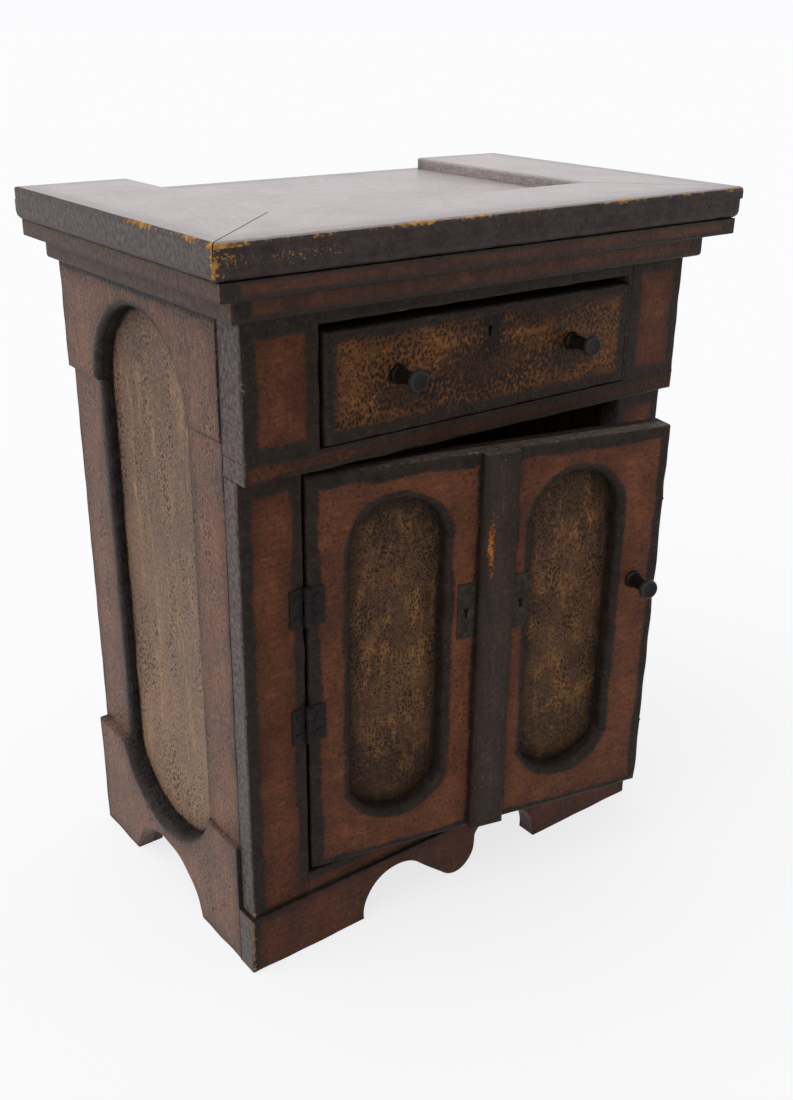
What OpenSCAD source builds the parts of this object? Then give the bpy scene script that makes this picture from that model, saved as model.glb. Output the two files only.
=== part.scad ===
// Small painted cupboard: one drawer over one door that is dressed as a pair of doors.
// The origin is on the floor, at the middle of the space that the cupboard takes up with
// its door ajar. +Z is up, the front faces -Y, and +X is to the right of someone facing it.
// Inside the modules y counts from the face of the lower front frame towards the back,
// and place() brings each piece to the origin. Door pieces are drawn shut and then swung.

/* [Overall] */
// Height from the floor to the top of the raised border
overall_h = 500; // [480:1:540]
// Width across the front frame
case_w = 360; // [340:1:400]
// Depth from the face of the lower frame to the back edge
case_d = 225; // [210:1:260]

/* [Front frame] */
// Thickness of the lower frame boards
frame_t = 15; // [12:0.5:20]
// How far the drawer section stands in front of the lower frame
upper_proud = 10; // [4:0.5:14]
// Width of the upright beside the door
lower_stile_w = 45; // [36:0.5:55]
// Width of the upright beside the drawer
upper_stile_w = 52; // [44:0.5:60]
// Height of the apron with the front feet
apron_h = 45; // [42:0.5:56]
// How far the apron stands in front of the lower frame
apron_proud = 2; // [0.5:0.5:4]
// Height of the rail under the door
bottom_rail_h = 17; // [14:0.5:24]
// Height of the rail under the drawer
drawer_rail_h = 13.5; // [12:0.5:16]
// Height of the drawer opening
drawer_opening_h = 73.5; // [70:0.5:85]
// Height of the rail over the drawer
top_rail_h = 35; // [31:0.5:42]
// Width of the left front foot
foot_left_w = 94; // [84:1:104]
// Width of the right front foot
foot_right_w = 105; // [90:1:115]
// Height of the arches cut in the apron
apron_arch_h = 35; // [30:0.5:38]
// Radius of the left arch
arch_left_r = 30; // [26:0.5:32]
// Radius of the right arch
arch_right_r = 31; // [26:0.5:34]
// Radius of the rounded drop between the arches
drop_r = 18; // [14:0.5:20]
// How far the bottom of that drop stays off the floor
drop_lift = 2; // [0.5:0.5:6]
// Distance of the drop from the middle, to the left
drop_off = 3; // [-6:0.5:8]
// Radius in the corner between the drop and the right arch
drop_corner_r = 8; // [3:0.5:10]

/* [Sides] */
// Thickness of the flat board inside each side
side_panel_t = 8; // [6:0.5:12]
// Thickness of the front upright on a side
side_front_stile_t = 10; // [8:0.5:14]
// Thickness of the back upright on a side
side_back_stile_t = 7; // [5:0.5:12]
// Thickness of the arched board at the top of a side
side_top_t = 11; // [10:0.5:15]
// Thickness of the footed board at the bottom of a side
side_foot_t = 13; // [11:0.5:16]
// Width of the front upright on a side
side_front_stile_w = 42; // [34:1:50]
// Width of the back upright on a side
side_back_stile_w = 47; // [38:1:54]
// Height of the arched board at the top of a side
side_top_h = 102; // [96:1:110]
// Rise of the arch in the top board of a side
side_arch_rise = 60; // [40:1:60]
// Height of the footed board at the bottom of a side
side_foot_z = 94; // [90:1:110]
// Drop of the hollow in the footed board of a side
side_hollow_drop = 42; // [30:1:44]
// Width of the front foot on a side, from the lower frame's face
front_foot_w = 70; // [55:1:80]
// Width of the back foot on a side
back_foot_w = 53; // [40:1:65]
// Height of the arch between the feet of a side
side_foot_arch_h = 38; // [26:1:42]
// Chamfer on the edge of each arched recess
recess_chamfer = 1.5; // [0.5:0.5:3]

/* [Cornice and top] */
// Height of the lower cornice strip
cornice_low_h = 16; // [12:0.5:18]
// How far the lower cornice strip stands out
cornice_low_proud = 7.5; // [6:0.5:12]
// Radius on the lower edge of the lower strip
cornice_low_r = 5; // [2:0.5:5.5]
// Height of the upper cornice strip
cornice_up_h = 10.5; // [8:0.5:14]
// How far the upper cornice strip stands out
cornice_up_proud = 22; // [16:0.5:23]
// Radius on the lower edge of the upper strip
cornice_up_r = 1; // [0.5:0.5:3]
// Thickness of the top board
top_t = 13; // [10:0.5:16]
// Overhang of the top past the sides
top_side_over = 26; // [24:0.5:32]
// Overhang of the top past the drawer section
top_front_over = 23.5; // [22.5:0.5:30]
// Overhang of the top past the back edge
top_back_over = 2; // [0:0.5:6]
// Radius on the lower edge of the top board
top_edge_r = 5; // [2:0.5:6]
// Thickness of the raised border on the top
border_t = 8; // [6:0.5:9]
// Width of the border along each side
border_side_w = 81; // [65:1:95]
// Width of the border along the front
border_front_w = 76; // [60:1:90]
// Radius on the outer and inner edges of the border
border_edge_r = 4; // [2:0.5:5]

/* [Door] */
// How far the door stands open at rest, in degrees
door_ajar = 12.5; // [2:0.5:30]
// Gap beside the door at its hinges
door_gap_hinge = 1.2; // [1:0.1:2]
// Gap beside the door at its knob
door_gap_lock = 1.8; // [1.5:0.1:3]
// Gap over the door
door_gap_top = 6; // [2:0.5:7]
// Gap under the door
door_gap_bottom = 2.3; // [1:0.1:4]
// Thickness of the flat board behind the door's frame
door_back_t = 7; // [5:0.5:10]
// Thickness of the door's frame boards
door_frame_t = 11; // [9:0.5:14]
// Width of the upright at the hinges
door_hinge_stile_w = 30; // [26:0.5:36]
// Width of the upright at the knob
door_lock_stile_w = 37; // [30:0.5:42]
// Width between the door's two arched recesses
door_mid_w = 65; // [60:0.5:76]
// Height of the arched boards at the top of the door
door_top_h = 53.5; // [46:0.5:60]
// Rise of the arches in them
door_arch_rise = 30; // [22:0.5:31]
// Height of the hollowed boards at the bottom of the door
door_bottom_h = 54.5; // [46:0.5:60]
// Drop of the hollows in them
door_hollow_drop = 23; // [16:0.5:28]
// Width of the strip down the middle of the door
astragal_w = 27; // [20:0.5:30]
// How far that strip stands out
astragal_t = 6; // [4:0.5:8]
// Radius on the edges of that strip
astragal_r = 3; // [1:0.5:3.5]
// Width of a lock plate
plate_w = 13; // [9:0.5:14]
// Height of a lock plate
plate_h = 40; // [30:0.5:46]
// Thickness of a lock plate
plate_t = 0.8; // [0.5:0.1:1.2]
// Gap between a lock plate and the middle strip
plate_gap = 0.8; // [0.5:0.1:2]
// Height of the lock plates above the door's middle
plate_rise = 33; // [0:1:50]
// Distance of the knob from the free edge of the door
door_knob_in = 21; // [14:0.5:26]
// Height of the door knob above the door's middle
door_knob_rise = 32; // [0:1:50]

/* [Hinges] */
// Height of a hinge
hinge_h = 26; // [22:1:30]
// Width of one hinge leaf, from the pin
leaf_w = 12; // [9:0.5:14]
// Thickness of a leaf
leaf_t = 1; // [0.8:0.1:1.4]
// Radius of a knuckle
knuckle_r = 2.4; // [2:0.1:2.6]
// Distance of the pin in front of the boards
pin_stand = 2.8; // [2.7:0.1:3.4]
// Radius of the hinge pin
pin_r = 1.1; // [0.9:0.05:1.3]
// Height of the lower hinge's middle above the foot of the door
lower_hinge_up = 117; // [80:1:120]
// Distance of the upper hinge's middle from the top of the door
upper_hinge_down = 85; // [70:1:100]
// Radius of a screw's shank
screw_r = 0.95; // [0.8:0.05:1.1]
// Length of a screw
screw_len = 8; // [6:0.5:9]

/* [Drawer] */
// Gap over the drawer front
drawer_gap_top = 4.7; // [1:0.1:8]
// Thickness of the drawer front
drawer_front_t = 15; // [12:0.5:18]
// Gap at the left end of the drawer front
drawer_gap_left = 3; // [1:0.1:4]
// Gap at the right end of the drawer front
drawer_gap_right = 1; // [0.6:0.1:3]
// Depth of the drawer behind its front
drawer_len = 190; // [150:1:195]
// Height of the drawer's sides
drawer_side_h = 58; // [45:0.5:60]
// Thickness of the drawer's sides and back
drawer_side_t = 8; // [6:0.5:10]
// Thickness of the drawer's bottom
drawer_bottom_t = 5; // [4:0.5:7]
// How far the drawer's bottom sits above the lower edge of its sides
drawer_bottom_lift = 3; // [2:0.5:6]
// Distance of each drawer knob from the drawer's middle
drawer_knob_x = 72.5; // [55:0.5:90]

/* [Knobs] */
// Length of a knob in front of the board
knob_len = 22; // [18:0.5:26]
// Radius of a knob's head
knob_r = 7; // [6:0.1:8]
// Thickness of the head
knob_head_t = 5; // [4:0.5:6]
// Radius of the rounding on the head
knob_edge_r = 1.4; // [0.8:0.1:1.8]
// Radius of the collar against the board
knob_collar_r = 6.2; // [5:0.1:7]
// Radius of the neck behind the head
knob_neck_r = 4; // [3:0.1:4.6]
// Radius of the tenon in the board
knob_tenon_r = 2.5; // [2:0.1:3]
// Length of the tenon in the board
knob_tenon_len = 9; // [6:0.5:10]

/* [Inside] */
// Thickness of the floor, the shelf and the board under the drawer
deck_t = 12; // [8:0.5:12]
// Thickness of the back board
back_t = 8; // [6:0.5:12]
// Height of the shelf's top above the cupboard floor
shelf_up = 153; // [100:1:190]
// Gap between the shut door and the shelf
shelf_set_back = 6; // [4:0.5:20]
// Size of the cleats under the shelf and of the door stop
cleat = 12; // [8:0.5:14]
// Height of the drawer guides
guide_h = 12; // [8:0.5:16]

/* [Fits] */
// Clearance of the drawer over its board
drawer_clear = 0.3; // [0.2:0.1:0.8]
// Clearance between the drawer and each guide
guide_clear = 0.7; // [0.4:0.1:1.5]
// Radial clearance of pins, screws and tenons in their holes
hole_clear = 0.05; // [0.02:0.01:0.1]
// Gap between knuckles
knuckle_gap = 0.3; // [0.2:0.1:0.6]
// Gap between the shut door and its stop
stop_gap = 0.4; // [0.2:0.1:1]

/* [Hidden] */
$fn = 64;
// a cutter runs this far past the face that it cuts
past = 1;
// a straight edge starts this far inside the round one that it runs on from
bite = 0.3;

// heights
cornice_top_z = overall_h - border_t - top_t;
cornice_mid_z = cornice_top_z - cornice_up_h;
cornice_low_z = cornice_mid_z - cornice_low_h;
top_rail_z = cornice_top_z - top_rail_h;
drawer_z = top_rail_z - drawer_opening_h;
drawer_rail_z = drawer_z - drawer_rail_h;
side_top_z = cornice_top_z - side_top_h;
door_z0 = apron_h + bottom_rail_h + door_gap_bottom;
door_z1 = drawer_rail_z - door_gap_top;
door_mid_z = (door_z0 + door_z1) / 2;
floor_z = apron_h + bottom_rail_h;
shelf_z = floor_z + shelf_up;

// widths, from the middle
half_w = case_w / 2;
panel_out = half_w - side_front_stile_t;
panel_in = panel_out - side_panel_t;
side_out = panel_out + side_top_t;
foot_out = panel_out + side_foot_t;
door_half = half_w - lower_stile_w;
drawer_half = half_w - upper_stile_w;

// depths, from the face of the lower frame
back_in = case_d - back_t;
door_t = door_back_t + door_frame_t;
recess_y0 = frame_t + side_front_stile_w;
recess_y1 = case_d - side_back_stile_w;
recess_mid = (recess_y0 + recess_y1) / 2;
top_front_y = -upper_proud - top_front_over;
top_back_y = case_d + top_back_over;
top_half = side_out + top_side_over;

// door, drawn shut: u counts from its hinge edge
door_x = -door_half + door_gap_hinge;
door_w = 2 * door_half - door_gap_hinge - door_gap_lock;
recess_w = (door_w - door_hinge_stile_w - door_lock_stile_w - door_mid_w) / 2;
left_mid = door_hinge_stile_w + recess_w / 2;
right_mid = door_w - door_lock_stile_w - recess_w / 2;
pin_x = -door_half + door_gap_hinge / 2;
pin_y = -pin_stand;
door_spring_z = door_z1 - door_top_h;
door_hollow_z = door_z0 + door_bottom_h;
plate_u = astragal_w / 2 + plate_gap + plate_w / 2;
plate_z = door_mid_z + plate_rise;
door_knob_u = door_w - door_knob_in;
door_knob_z = door_mid_z + door_knob_rise;
lower_hinge_z = door_z0 + lower_hinge_up;
upper_hinge_z = door_z1 - upper_hinge_down;
knuckle_h = (hinge_h - 2 * knuckle_gap) / 3;
screw_u = (leaf_w + knuckle_r) / 2;
screw_rise = hinge_h / 4;
screw_head_r = 1.9;
screw_head_t = 0.6;
pin_head_r = 1.9;
pin_head_t = 0.8;

// drawer
drawer_w = 2 * drawer_half - drawer_gap_left - drawer_gap_right;
drawer_mid = (drawer_gap_left - drawer_gap_right) / 2;
drawer_y0 = -upper_proud;
drawer_y1 = drawer_y0 + drawer_front_t;
drawer_y2 = drawer_y1 + drawer_len;
drawer_z0 = drawer_z + drawer_clear;
drawer_front_h = drawer_opening_h - drawer_clear - drawer_gap_top;
drawer_knob_z = drawer_z0 + drawer_front_h / 2 + 2;
key_z = drawer_z0 + drawer_front_h - 14;
key_r = 1.7;
key_slot_w = 1.8;
key_slot_h = 5;
key_deep = 6;

// the knob on the swung door reaches furthest forward, the border furthest back
knob_reach_u = door_gap_hinge / 2 + door_knob_u + knob_r - knob_edge_r;
knob_reach_y = pin_stand - knob_len + knob_edge_r;
front_reach = pin_stand + knob_reach_u * sin(door_ajar) - knob_reach_y * cos(door_ajar) + knob_edge_r;
shift_y = (front_reach - top_back_y) / 2;

// paint
brown = "#5e392b";
side_brown = "#665248";
ochre = "#6b4a2c";
black = "#2a2827";
top_grey = "#75655f";
bare = "#9a7a52";
iron = "#343130";
brass = "#6a5a35";

// ---- placing ----

// brings a case or drawer piece to the origin
module place(paint) {
    color(paint)
        translate([0, shift_y, 0])
            children();
}

// brings a door piece to the origin and swings it ajar about the hinge pins
module place_door(paint) {
    place(paint)
        translate([pin_x, pin_y, 0])
            rotate([0, 0, -door_ajar])
                translate([-pin_x, -pin_y, 0])
                    children();
}

// the left piece as drawn, or its mirror image on the right
module on_side(right) {
    mirror([right ? 1 : 0, 0, 0])
        children();
}

// ---- shapes ----

// radius of an arc from its chord and its rise
function arc_r(chord, rise) = (chord * chord / 4 + rise * rise) / (2 * rise);

// box between two corners
module block(low, high) {
    translate(low)
        cube(high - low);
}

// carries a profile drawn in y and z along x
module along_x(x0, x1) {
    translate([x0, 0, 0])
        rotate([90, 0, 90])
            linear_extrude(height = x1 - x0)
                children();
}

// carries a profile drawn in x and z along y
module along_y(y0, y1) {
    translate([0, y1, 0])
        rotate([90, 0, 0])
            linear_extrude(height = y1 - y0)
                children();
}

// rectangle between two corners, with the lower left corner rounded where side is -1,
// or the upper left one where side is 1
module soft_rect(low, high, r, side) {
    corner_y = side > 0 ? high[1] - r : low[1] + r;
    union() {
        translate([low[0] + r, low[1]])
            square([high[0] - low[0] - r, high[1] - low[1]]);
        translate([low[0], side > 0 ? low[1] : low[1] + r])
            square([r + past / 2, high[1] - low[1] - r]);
        translate([low[0] + r, corner_y])
            circle(r);
    }
}

// frame board with an arch cut in one end: it lies in u and v, and its face is at w = t;
// the arch has the middle of its chord at (mid, spring) and drops where its rise is negative
module arched_board(u0, u1, v0, v1, t, mid, spring, chord, rise) {
    r = arc_r(chord, abs(rise));
    centre_v = rise > 0 ? spring + rise - r : spring + rise + r;
    difference() {
        block([u0, v0, 0], [u1, v1, t]);
        translate([mid, centre_v, -past])
            cylinder(h = t + 2 * past, r = r);
        translate([mid, centre_v, t - recess_chamfer])
            cylinder(h = recess_chamfer + past, r1 = r, r2 = r + recess_chamfer + past);
    }
}

// upright with a chamfer on the edge of its face at u1 or at u0; it lies as arched_board does
module chamfered_stile(u0, u1, v0, v1, t, at_u1) {
    edge = at_u1 ? u1 : u0;
    away = at_u1 ? -1 : 1;
    difference() {
        block([u0, v0, 0], [u1, v1, t]);
        translate([0, v0 - past, 0])
            rotate([-90, 0, 0])
                mirror([0, 1, 0])
                    linear_extrude(height = v1 - v0 + 2 * past)
                        polygon([[edge + away * recess_chamfer, t],
                                 [edge + away * recess_chamfer, t + past],
                                 [edge - away * past, t + past],
                                 [edge - away * past, t - recess_chamfer - past],
                                 [edge, t - recess_chamfer]]);
    }
}

// lays a board drawn in u, v and w on the left side: u runs back, v up and w outwards
module on_left_side() {
    translate([-panel_out, 0, 0])
        rotate([90, 0, -90])
            mirror([1, 0, 0])
                children();
}

// lays a board drawn in u, v and w on the shut door: u from its hinge edge, w forwards
module on_door_front() {
    translate([door_x, door_frame_t, 0])
        rotate([90, 0, 0])
            children();
}

// turned knob on a board's face at y = 0, with its tenon behind
module knob() {
    head_y = knob_len - knob_head_t;
    rotate([90, 0, 0])
        rotate_extrude()
            union() {
                translate([0, -knob_tenon_len])
                    square([knob_tenon_r, knob_tenon_len]);
                polygon([[0, 0], [knob_collar_r, 0], [knob_collar_r, 1.8], [knob_collar_r - 0.9, 3],
                         [knob_neck_r + 1.2, 7], [knob_neck_r, 12], [knob_neck_r, head_y], [0, head_y]]);
                translate([0, head_y])
                    square([knob_r - knob_edge_r, knob_head_t]);
                translate([0, head_y + knob_edge_r])
                    square([knob_r, knob_head_t - 2 * knob_edge_r]);
                translate([knob_r - knob_edge_r, head_y + knob_edge_r])
                    circle(knob_edge_r);
                translate([knob_r - knob_edge_r, knob_len - knob_edge_r])
                    circle(knob_edge_r);
            }
}

// hole for a knob's tenon, from the board's face at y = 0
module tenon_hole() {
    translate([0, -past, 0])
        rotate([-90, 0, 0])
            cylinder(h = knob_tenon_len + hole_clear + past, r = knob_tenon_r + hole_clear);
}

// keyhole cutter from the face at y = 0, going deep
module keyhole(deep) {
    translate([0, -past, 0])
        rotate([-90, 0, 0])
            cylinder(h = deep + past, r = key_r);
    block([-key_slot_w / 2, -past, -key_slot_h], [key_slot_w / 2, deep, 0]);
}

// ---- hinges ----

// puts its children at the middle of each hinge pin
module at_hinges() {
    for (z = [lower_hinge_z, upper_hinge_z])
        translate([pin_x, pin_y, z])
            children();
}

// puts its children at each screw of one leaf, at y = 0 on the board's face;
// side is -1 for the case leaf and 1 for the door leaf
module at_screws(side) {
    for (rise = [-screw_rise, screw_rise])
        translate([side * screw_u, pin_stand, rise])
            children();
}

module screw() {
    rotate([-90, 0, 0])
        union() {
            translate([0, 0, -leaf_t])
                cylinder(h = screw_len, r = screw_r);
            translate([0, 0, -leaf_t - screw_head_t])
                cylinder(h = screw_head_t, r = screw_head_r);
        }
}

module screw_hole() {
    translate([0, -leaf_t - past, 0])
        rotate([-90, 0, 0])
            cylinder(h = screw_len + past + hole_clear, r = screw_r + hole_clear);
}

// knuckle with its arm to the leaf, bored for the pin
module knuckle(side, low) {
    arm = knuckle_r + knuckle_gap;
    difference() {
        union() {
            translate([0, 0, low])
                cylinder(h = knuckle_h, r = knuckle_r);
            block([side > 0 ? 0 : -arm, pin_stand - leaf_t, low],
                  [side > 0 ? arm : 0, pin_stand, low + knuckle_h]);
        }
        translate([0, 0, low - past])
            cylinder(h = knuckle_h + 2 * past, r = pin_r + hole_clear);
    }
}

// one leaf with its knuckles, whose lower ends are listed
module leaf(side, lows) {
    arm = knuckle_r + knuckle_gap;
    difference() {
        union() {
            block([side > 0 ? arm : -leaf_w, pin_stand - leaf_t, -hinge_h / 2],
                  [side > 0 ? leaf_w : -arm, pin_stand, hinge_h / 2]);
            for (low = lows)
                knuckle(side, low);
        }
        at_screws(side)
            screw_hole();
    }
}

module hinge_case_leaves() {
    place(iron)
        at_hinges()
            leaf(-1, [-hinge_h / 2, hinge_h / 2 - knuckle_h]);
}

module hinge_door_leaves() {
    place_door(iron)
        at_hinges()
            leaf(1, [-knuckle_h / 2]);
}

module hinge_pins() {
    place(iron)
        at_hinges()
            union() {
                translate([0, 0, -hinge_h / 2])
                    cylinder(h = hinge_h, r = pin_r);
                for (low = [-hinge_h / 2 - pin_head_t, hinge_h / 2])
                    translate([0, 0, low])
                        cylinder(h = pin_head_t, r = pin_head_r);
            }
}

module hinge_case_screws() {
    place(iron)
        at_hinges()
            at_screws(-1)
                screw();
}

module hinge_door_screws() {
    place_door(iron)
        at_hinges()
            at_screws(1)
                screw();
}

// ---- sides ----

// cutter for the arch between the feet of a side
module side_foot_arch(x0, x1) {
    chord = case_d - front_foot_w - back_foot_w;
    r = arc_r(chord, side_foot_arch_h);
    translate([x0, front_foot_w + chord / 2, side_foot_arch_h - r])
        rotate([0, 90, 0])
            cylinder(h = x1 - x0, r = r);
}

module side_panel(right) {
    place(side_brown)
        on_side(right)
            difference() {
                block([-panel_out, frame_t, 0], [-panel_in, case_d, cornice_top_z]);
                side_foot_arch(-panel_out - past, -panel_in + past);
            }
}

module side_top_board(right) {
    place(side_brown)
        on_side(right)
            on_left_side()
                arched_board(frame_t, case_d, side_top_z, cornice_top_z, side_top_t,
                             recess_mid, side_top_z, recess_y1 - recess_y0, side_arch_rise);
}

module side_foot_board(right) {
    place(side_brown)
        on_side(right)
            difference() {
                on_left_side()
                    arched_board(frame_t, case_d, 0, side_foot_z, side_foot_t,
                                 recess_mid, side_foot_z, recess_y1 - recess_y0, -side_hollow_drop);
                side_foot_arch(-foot_out - past, -panel_out + past);
            }
}

module side_front_stile(right) {
    place(side_brown)
        on_side(right)
            on_left_side()
                chamfered_stile(frame_t, recess_y0, side_foot_z, side_top_z, side_front_stile_t, true);
}

module side_back_stile(right) {
    place(side_brown)
        on_side(right)
            on_left_side()
                chamfered_stile(recess_y1, case_d, side_foot_z, side_top_z, side_back_stile_t, false);
}

module side_panel_left() side_panel(false);
module side_panel_right() side_panel(true);
module side_top_board_left() side_top_board(false);
module side_top_board_right() side_top_board(true);
module side_foot_board_left() side_foot_board(false);
module side_foot_board_right() side_foot_board(true);
module side_front_stile_left() side_front_stile(false);
module side_front_stile_right() side_front_stile(true);
module side_back_stile_left() side_back_stile(false);
module side_back_stile_right() side_back_stile(true);

// ---- boards inside ----

module back_board() {
    place(bare)
        block([-panel_in, back_in, apron_h], [panel_in, case_d, cornice_top_z]);
}

module floor_board() {
    place(bare)
        block([-panel_in, frame_t, floor_z - deck_t], [panel_in, back_in, floor_z]);
}

module shelf() {
    place(bare)
        block([-panel_in, door_t + shelf_set_back, shelf_z - deck_t], [panel_in, back_in, shelf_z]);
}

module shelf_cleats() {
    place(bare)
        for (right = [false, true])
            on_side(right)
                block([-panel_in, door_t + shelf_set_back, shelf_z - deck_t - cleat],
                      [-panel_in + cleat, back_in, shelf_z - deck_t]);
}

module drawer_deck() {
    place(bare)
        block([-panel_in, frame_t, drawer_z - deck_t], [panel_in, back_in, drawer_z]);
}

module drawer_guides() {
    place(bare)
        for (side = [-1, 1])
            block([side < 0 ? -panel_in : drawer_mid + drawer_w / 2 + guide_clear, frame_t, drawer_z],
                  [side < 0 ? drawer_mid - drawer_w / 2 - guide_clear : panel_in, back_in,
                   drawer_z + guide_h]);
}

// small block under the drawer's board that the shut door meets near its knob edge
module door_stop() {
    place(bare)
        block([door_half - 3 * cleat, door_t + stop_gap, drawer_z - deck_t - cleat],
              [door_half, door_t + stop_gap + cleat, drawer_z - deck_t]);
}

// ---- front frame ----

module upper_stile(right) {
    place(brown)
        on_side(right)
            block([-half_w, -upper_proud, drawer_z], [-drawer_half, frame_t, cornice_top_z]);
}

module upper_stile_left() upper_stile(false);
module upper_stile_right() upper_stile(true);

module top_rail() {
    place(black)
        block([-drawer_half, -upper_proud, top_rail_z], [drawer_half, frame_t, cornice_top_z]);
}

module drawer_rail() {
    place(brown)
        block([-half_w, -upper_proud, drawer_rail_z], [half_w, frame_t, drawer_z]);
}

module lower_stile_left() {
    place(brown)
        difference() {
            block([-half_w, 0, apron_h], [-door_half, frame_t, drawer_rail_z]);
            at_hinges()
                at_screws(-1)
                    screw_hole();
        }
}

module lower_stile_right() {
    place(brown)
        block([door_half, 0, apron_h], [half_w, frame_t, drawer_rail_z]);
}

module bottom_rail() {
    place(black)
        block([-door_half, 0, apron_h], [door_half, frame_t, floor_z]);
}

// what is cut from the apron: an arch that runs down to the drop in a straight slope on its
// left, a plain arch with a rounded corner on its right, and the space under the drop
module apron_cut() {
    left_mid = [-foot_out + foot_left_w + sqrt(pow(arch_left_r, 2) - pow(apron_arch_h - arch_left_r, 2)),
                apron_arch_h - arch_left_r];
    right_mid = [foot_out - foot_right_w - sqrt(pow(arch_right_r, 2) - pow(apron_arch_h - arch_right_r, 2)),
                 apron_arch_h - arch_right_r];
    drop_mid = [-drop_off, drop_lift + drop_r];
    way = drop_mid - left_mid;
    lean = atan2(way[1], way[0]) + acos((arch_left_r + drop_r) / norm(way));
    slope_top = left_mid + (arch_left_r - bite) * [cos(lean), sin(lean)];
    slope_end = drop_mid - (drop_r - bite) * [cos(lean), sin(lean)];
    drop_side = drop_mid[0] + drop_r - bite;
    corner_top = apron_arch_h - bite;
    corner = [drop_side + drop_corner_r, corner_top - drop_corner_r];
    difference() {
        union() {
            translate(left_mid)
                circle(arch_left_r);
            polygon([left_mid, slope_top, slope_end, [slope_end[0], -past], [left_mid[0], -past]]);
            translate([slope_end[0], -past])
                square([corner[0] - slope_end[0], drop_mid[1] + past]);
            translate([drop_side, -past])
                square([drop_corner_r, corner[1] + past]);
            translate(corner)
                circle(drop_corner_r);
            translate([corner[0], -past])
                square([right_mid[0] - corner[0], corner_top + past]);
            translate(right_mid)
                circle(arch_right_r);
        }
        translate(drop_mid)
            circle(drop_r);
    }
}

// board with the two front feet and the drop between them
module front_apron() {
    place(brown)
        along_y(-apron_proud, frame_t)
            difference() {
                translate([-foot_out, 0])
                    square([2 * foot_out, apron_h]);
                apron_cut();
            }
}

// ---- cornice and top ----

// keeps the part of a front strip between its two mitres; in is the inner corner and
// out the outer corner on the left, each as [x, y]
module front_mitre(in, out) {
    linear_extrude(height = overall_h + past)
        polygon([in, [-in[0], in[1]], [-out[0], out[1]], out]);
}

// keeps the part of a left strip behind its mitre
module side_mitre(in, out, back) {
    linear_extrude(height = overall_h + past)
        polygon([in, out, [out[0], back], [in[0], back]]);
}

// front strip of the lower or the upper step
module cornice_front(upper) {
    proud = upper ? cornice_up_proud : cornice_low_proud;
    low = upper ? cornice_mid_z : cornice_low_z;
    high = upper ? cornice_top_z : cornice_mid_z;
    place(black)
        intersection() {
            along_x(-side_out - proud, side_out + proud)
                soft_rect([-upper_proud - proud, low], [-upper_proud, high],
                          upper ? cornice_up_r : cornice_low_r, -1);
            front_mitre([-side_out, -upper_proud], [-side_out - proud, -upper_proud - proud]);
        }
}

// strip of the lower or the upper step along one side
module cornice_side(upper, right) {
    proud = upper ? cornice_up_proud : cornice_low_proud;
    low = upper ? cornice_mid_z : cornice_low_z;
    high = upper ? cornice_top_z : cornice_mid_z;
    place(black)
        on_side(right)
            intersection() {
                along_y(-upper_proud - proud, case_d)
                    soft_rect([-side_out - proud, low], [-side_out, high],
                              upper ? cornice_up_r : cornice_low_r, -1);
                side_mitre([-side_out, -upper_proud], [-side_out - proud, -upper_proud - proud], case_d);
            }
}

module cornice_low_front() cornice_front(false);
module cornice_low_left() cornice_side(false, false);
module cornice_low_right() cornice_side(false, true);
module cornice_up_front() cornice_front(true);
module cornice_up_left() cornice_side(true, false);
module cornice_up_right() cornice_side(true, true);

// one board over the whole case, with its lower edge rounded at the front and the sides
module top_board() {
    low = cornice_top_z;
    high = cornice_top_z + top_t;
    place(top_grey)
        intersection() {
            along_x(-top_half, top_half)
                soft_rect([top_front_y, low], [top_back_y, high], top_edge_r, -1);
            along_y(top_front_y - past, top_back_y + past)
                soft_rect([-top_half, low], [top_half + past, high], top_edge_r, -1);
            mirror([1, 0, 0])
                along_y(top_front_y - past, top_back_y + past)
                    soft_rect([-top_half, low], [top_half + past, high], top_edge_r, -1);
        }
}

// border strip's profile: rounded along both upper edges, outer edge at 0
module border_profile(wide) {
    low = overall_h - border_t;
    intersection() {
        soft_rect([0, low], [wide + past, overall_h], border_edge_r, 1);
        translate([wide, 0])
            mirror([1, 0])
                soft_rect([0, low], [wide + past, overall_h], border_edge_r, 1);
    }
}

module top_border_front() {
    place(top_grey)
        intersection() {
            along_x(-top_half, top_half)
                translate([top_front_y, 0])
                    border_profile(border_front_w);
            front_mitre([-top_half + border_side_w, top_front_y + border_front_w], [-top_half, top_front_y]);
        }
}

module top_border_side(right) {
    place(top_grey)
        on_side(right)
            intersection() {
                along_y(top_front_y, top_back_y)
                    translate([-top_half, 0])
                        border_profile(border_side_w);
                side_mitre([-top_half + border_side_w, top_front_y + border_front_w],
                           [-top_half, top_front_y], top_back_y);
            }
}

module top_border_left() top_border_side(false);
module top_border_right() top_border_side(true);

// ---- door ----

module door_back_panel() {
    place_door(bare)
        block([door_x, door_frame_t, door_z0], [door_x + door_w, door_t, door_z1]);
}

module door_top_board(u0, u1, mid) {
    place_door(brown)
        on_door_front()
            arched_board(u0, u1, door_spring_z, door_z1, door_frame_t,
                         mid, door_spring_z, recess_w, door_arch_rise);
}

module door_bottom_board(u0, u1, mid) {
    place_door(brown)
        on_door_front()
            arched_board(u0, u1, door_z0, door_hollow_z, door_frame_t,
                         mid, door_hollow_z, recess_w, -door_hollow_drop);
}

module door_stile(u0, u1, recess_at_u1) {
    chamfered_stile(u0, u1, door_hollow_z, door_spring_z, door_frame_t, recess_at_u1);
}

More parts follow.
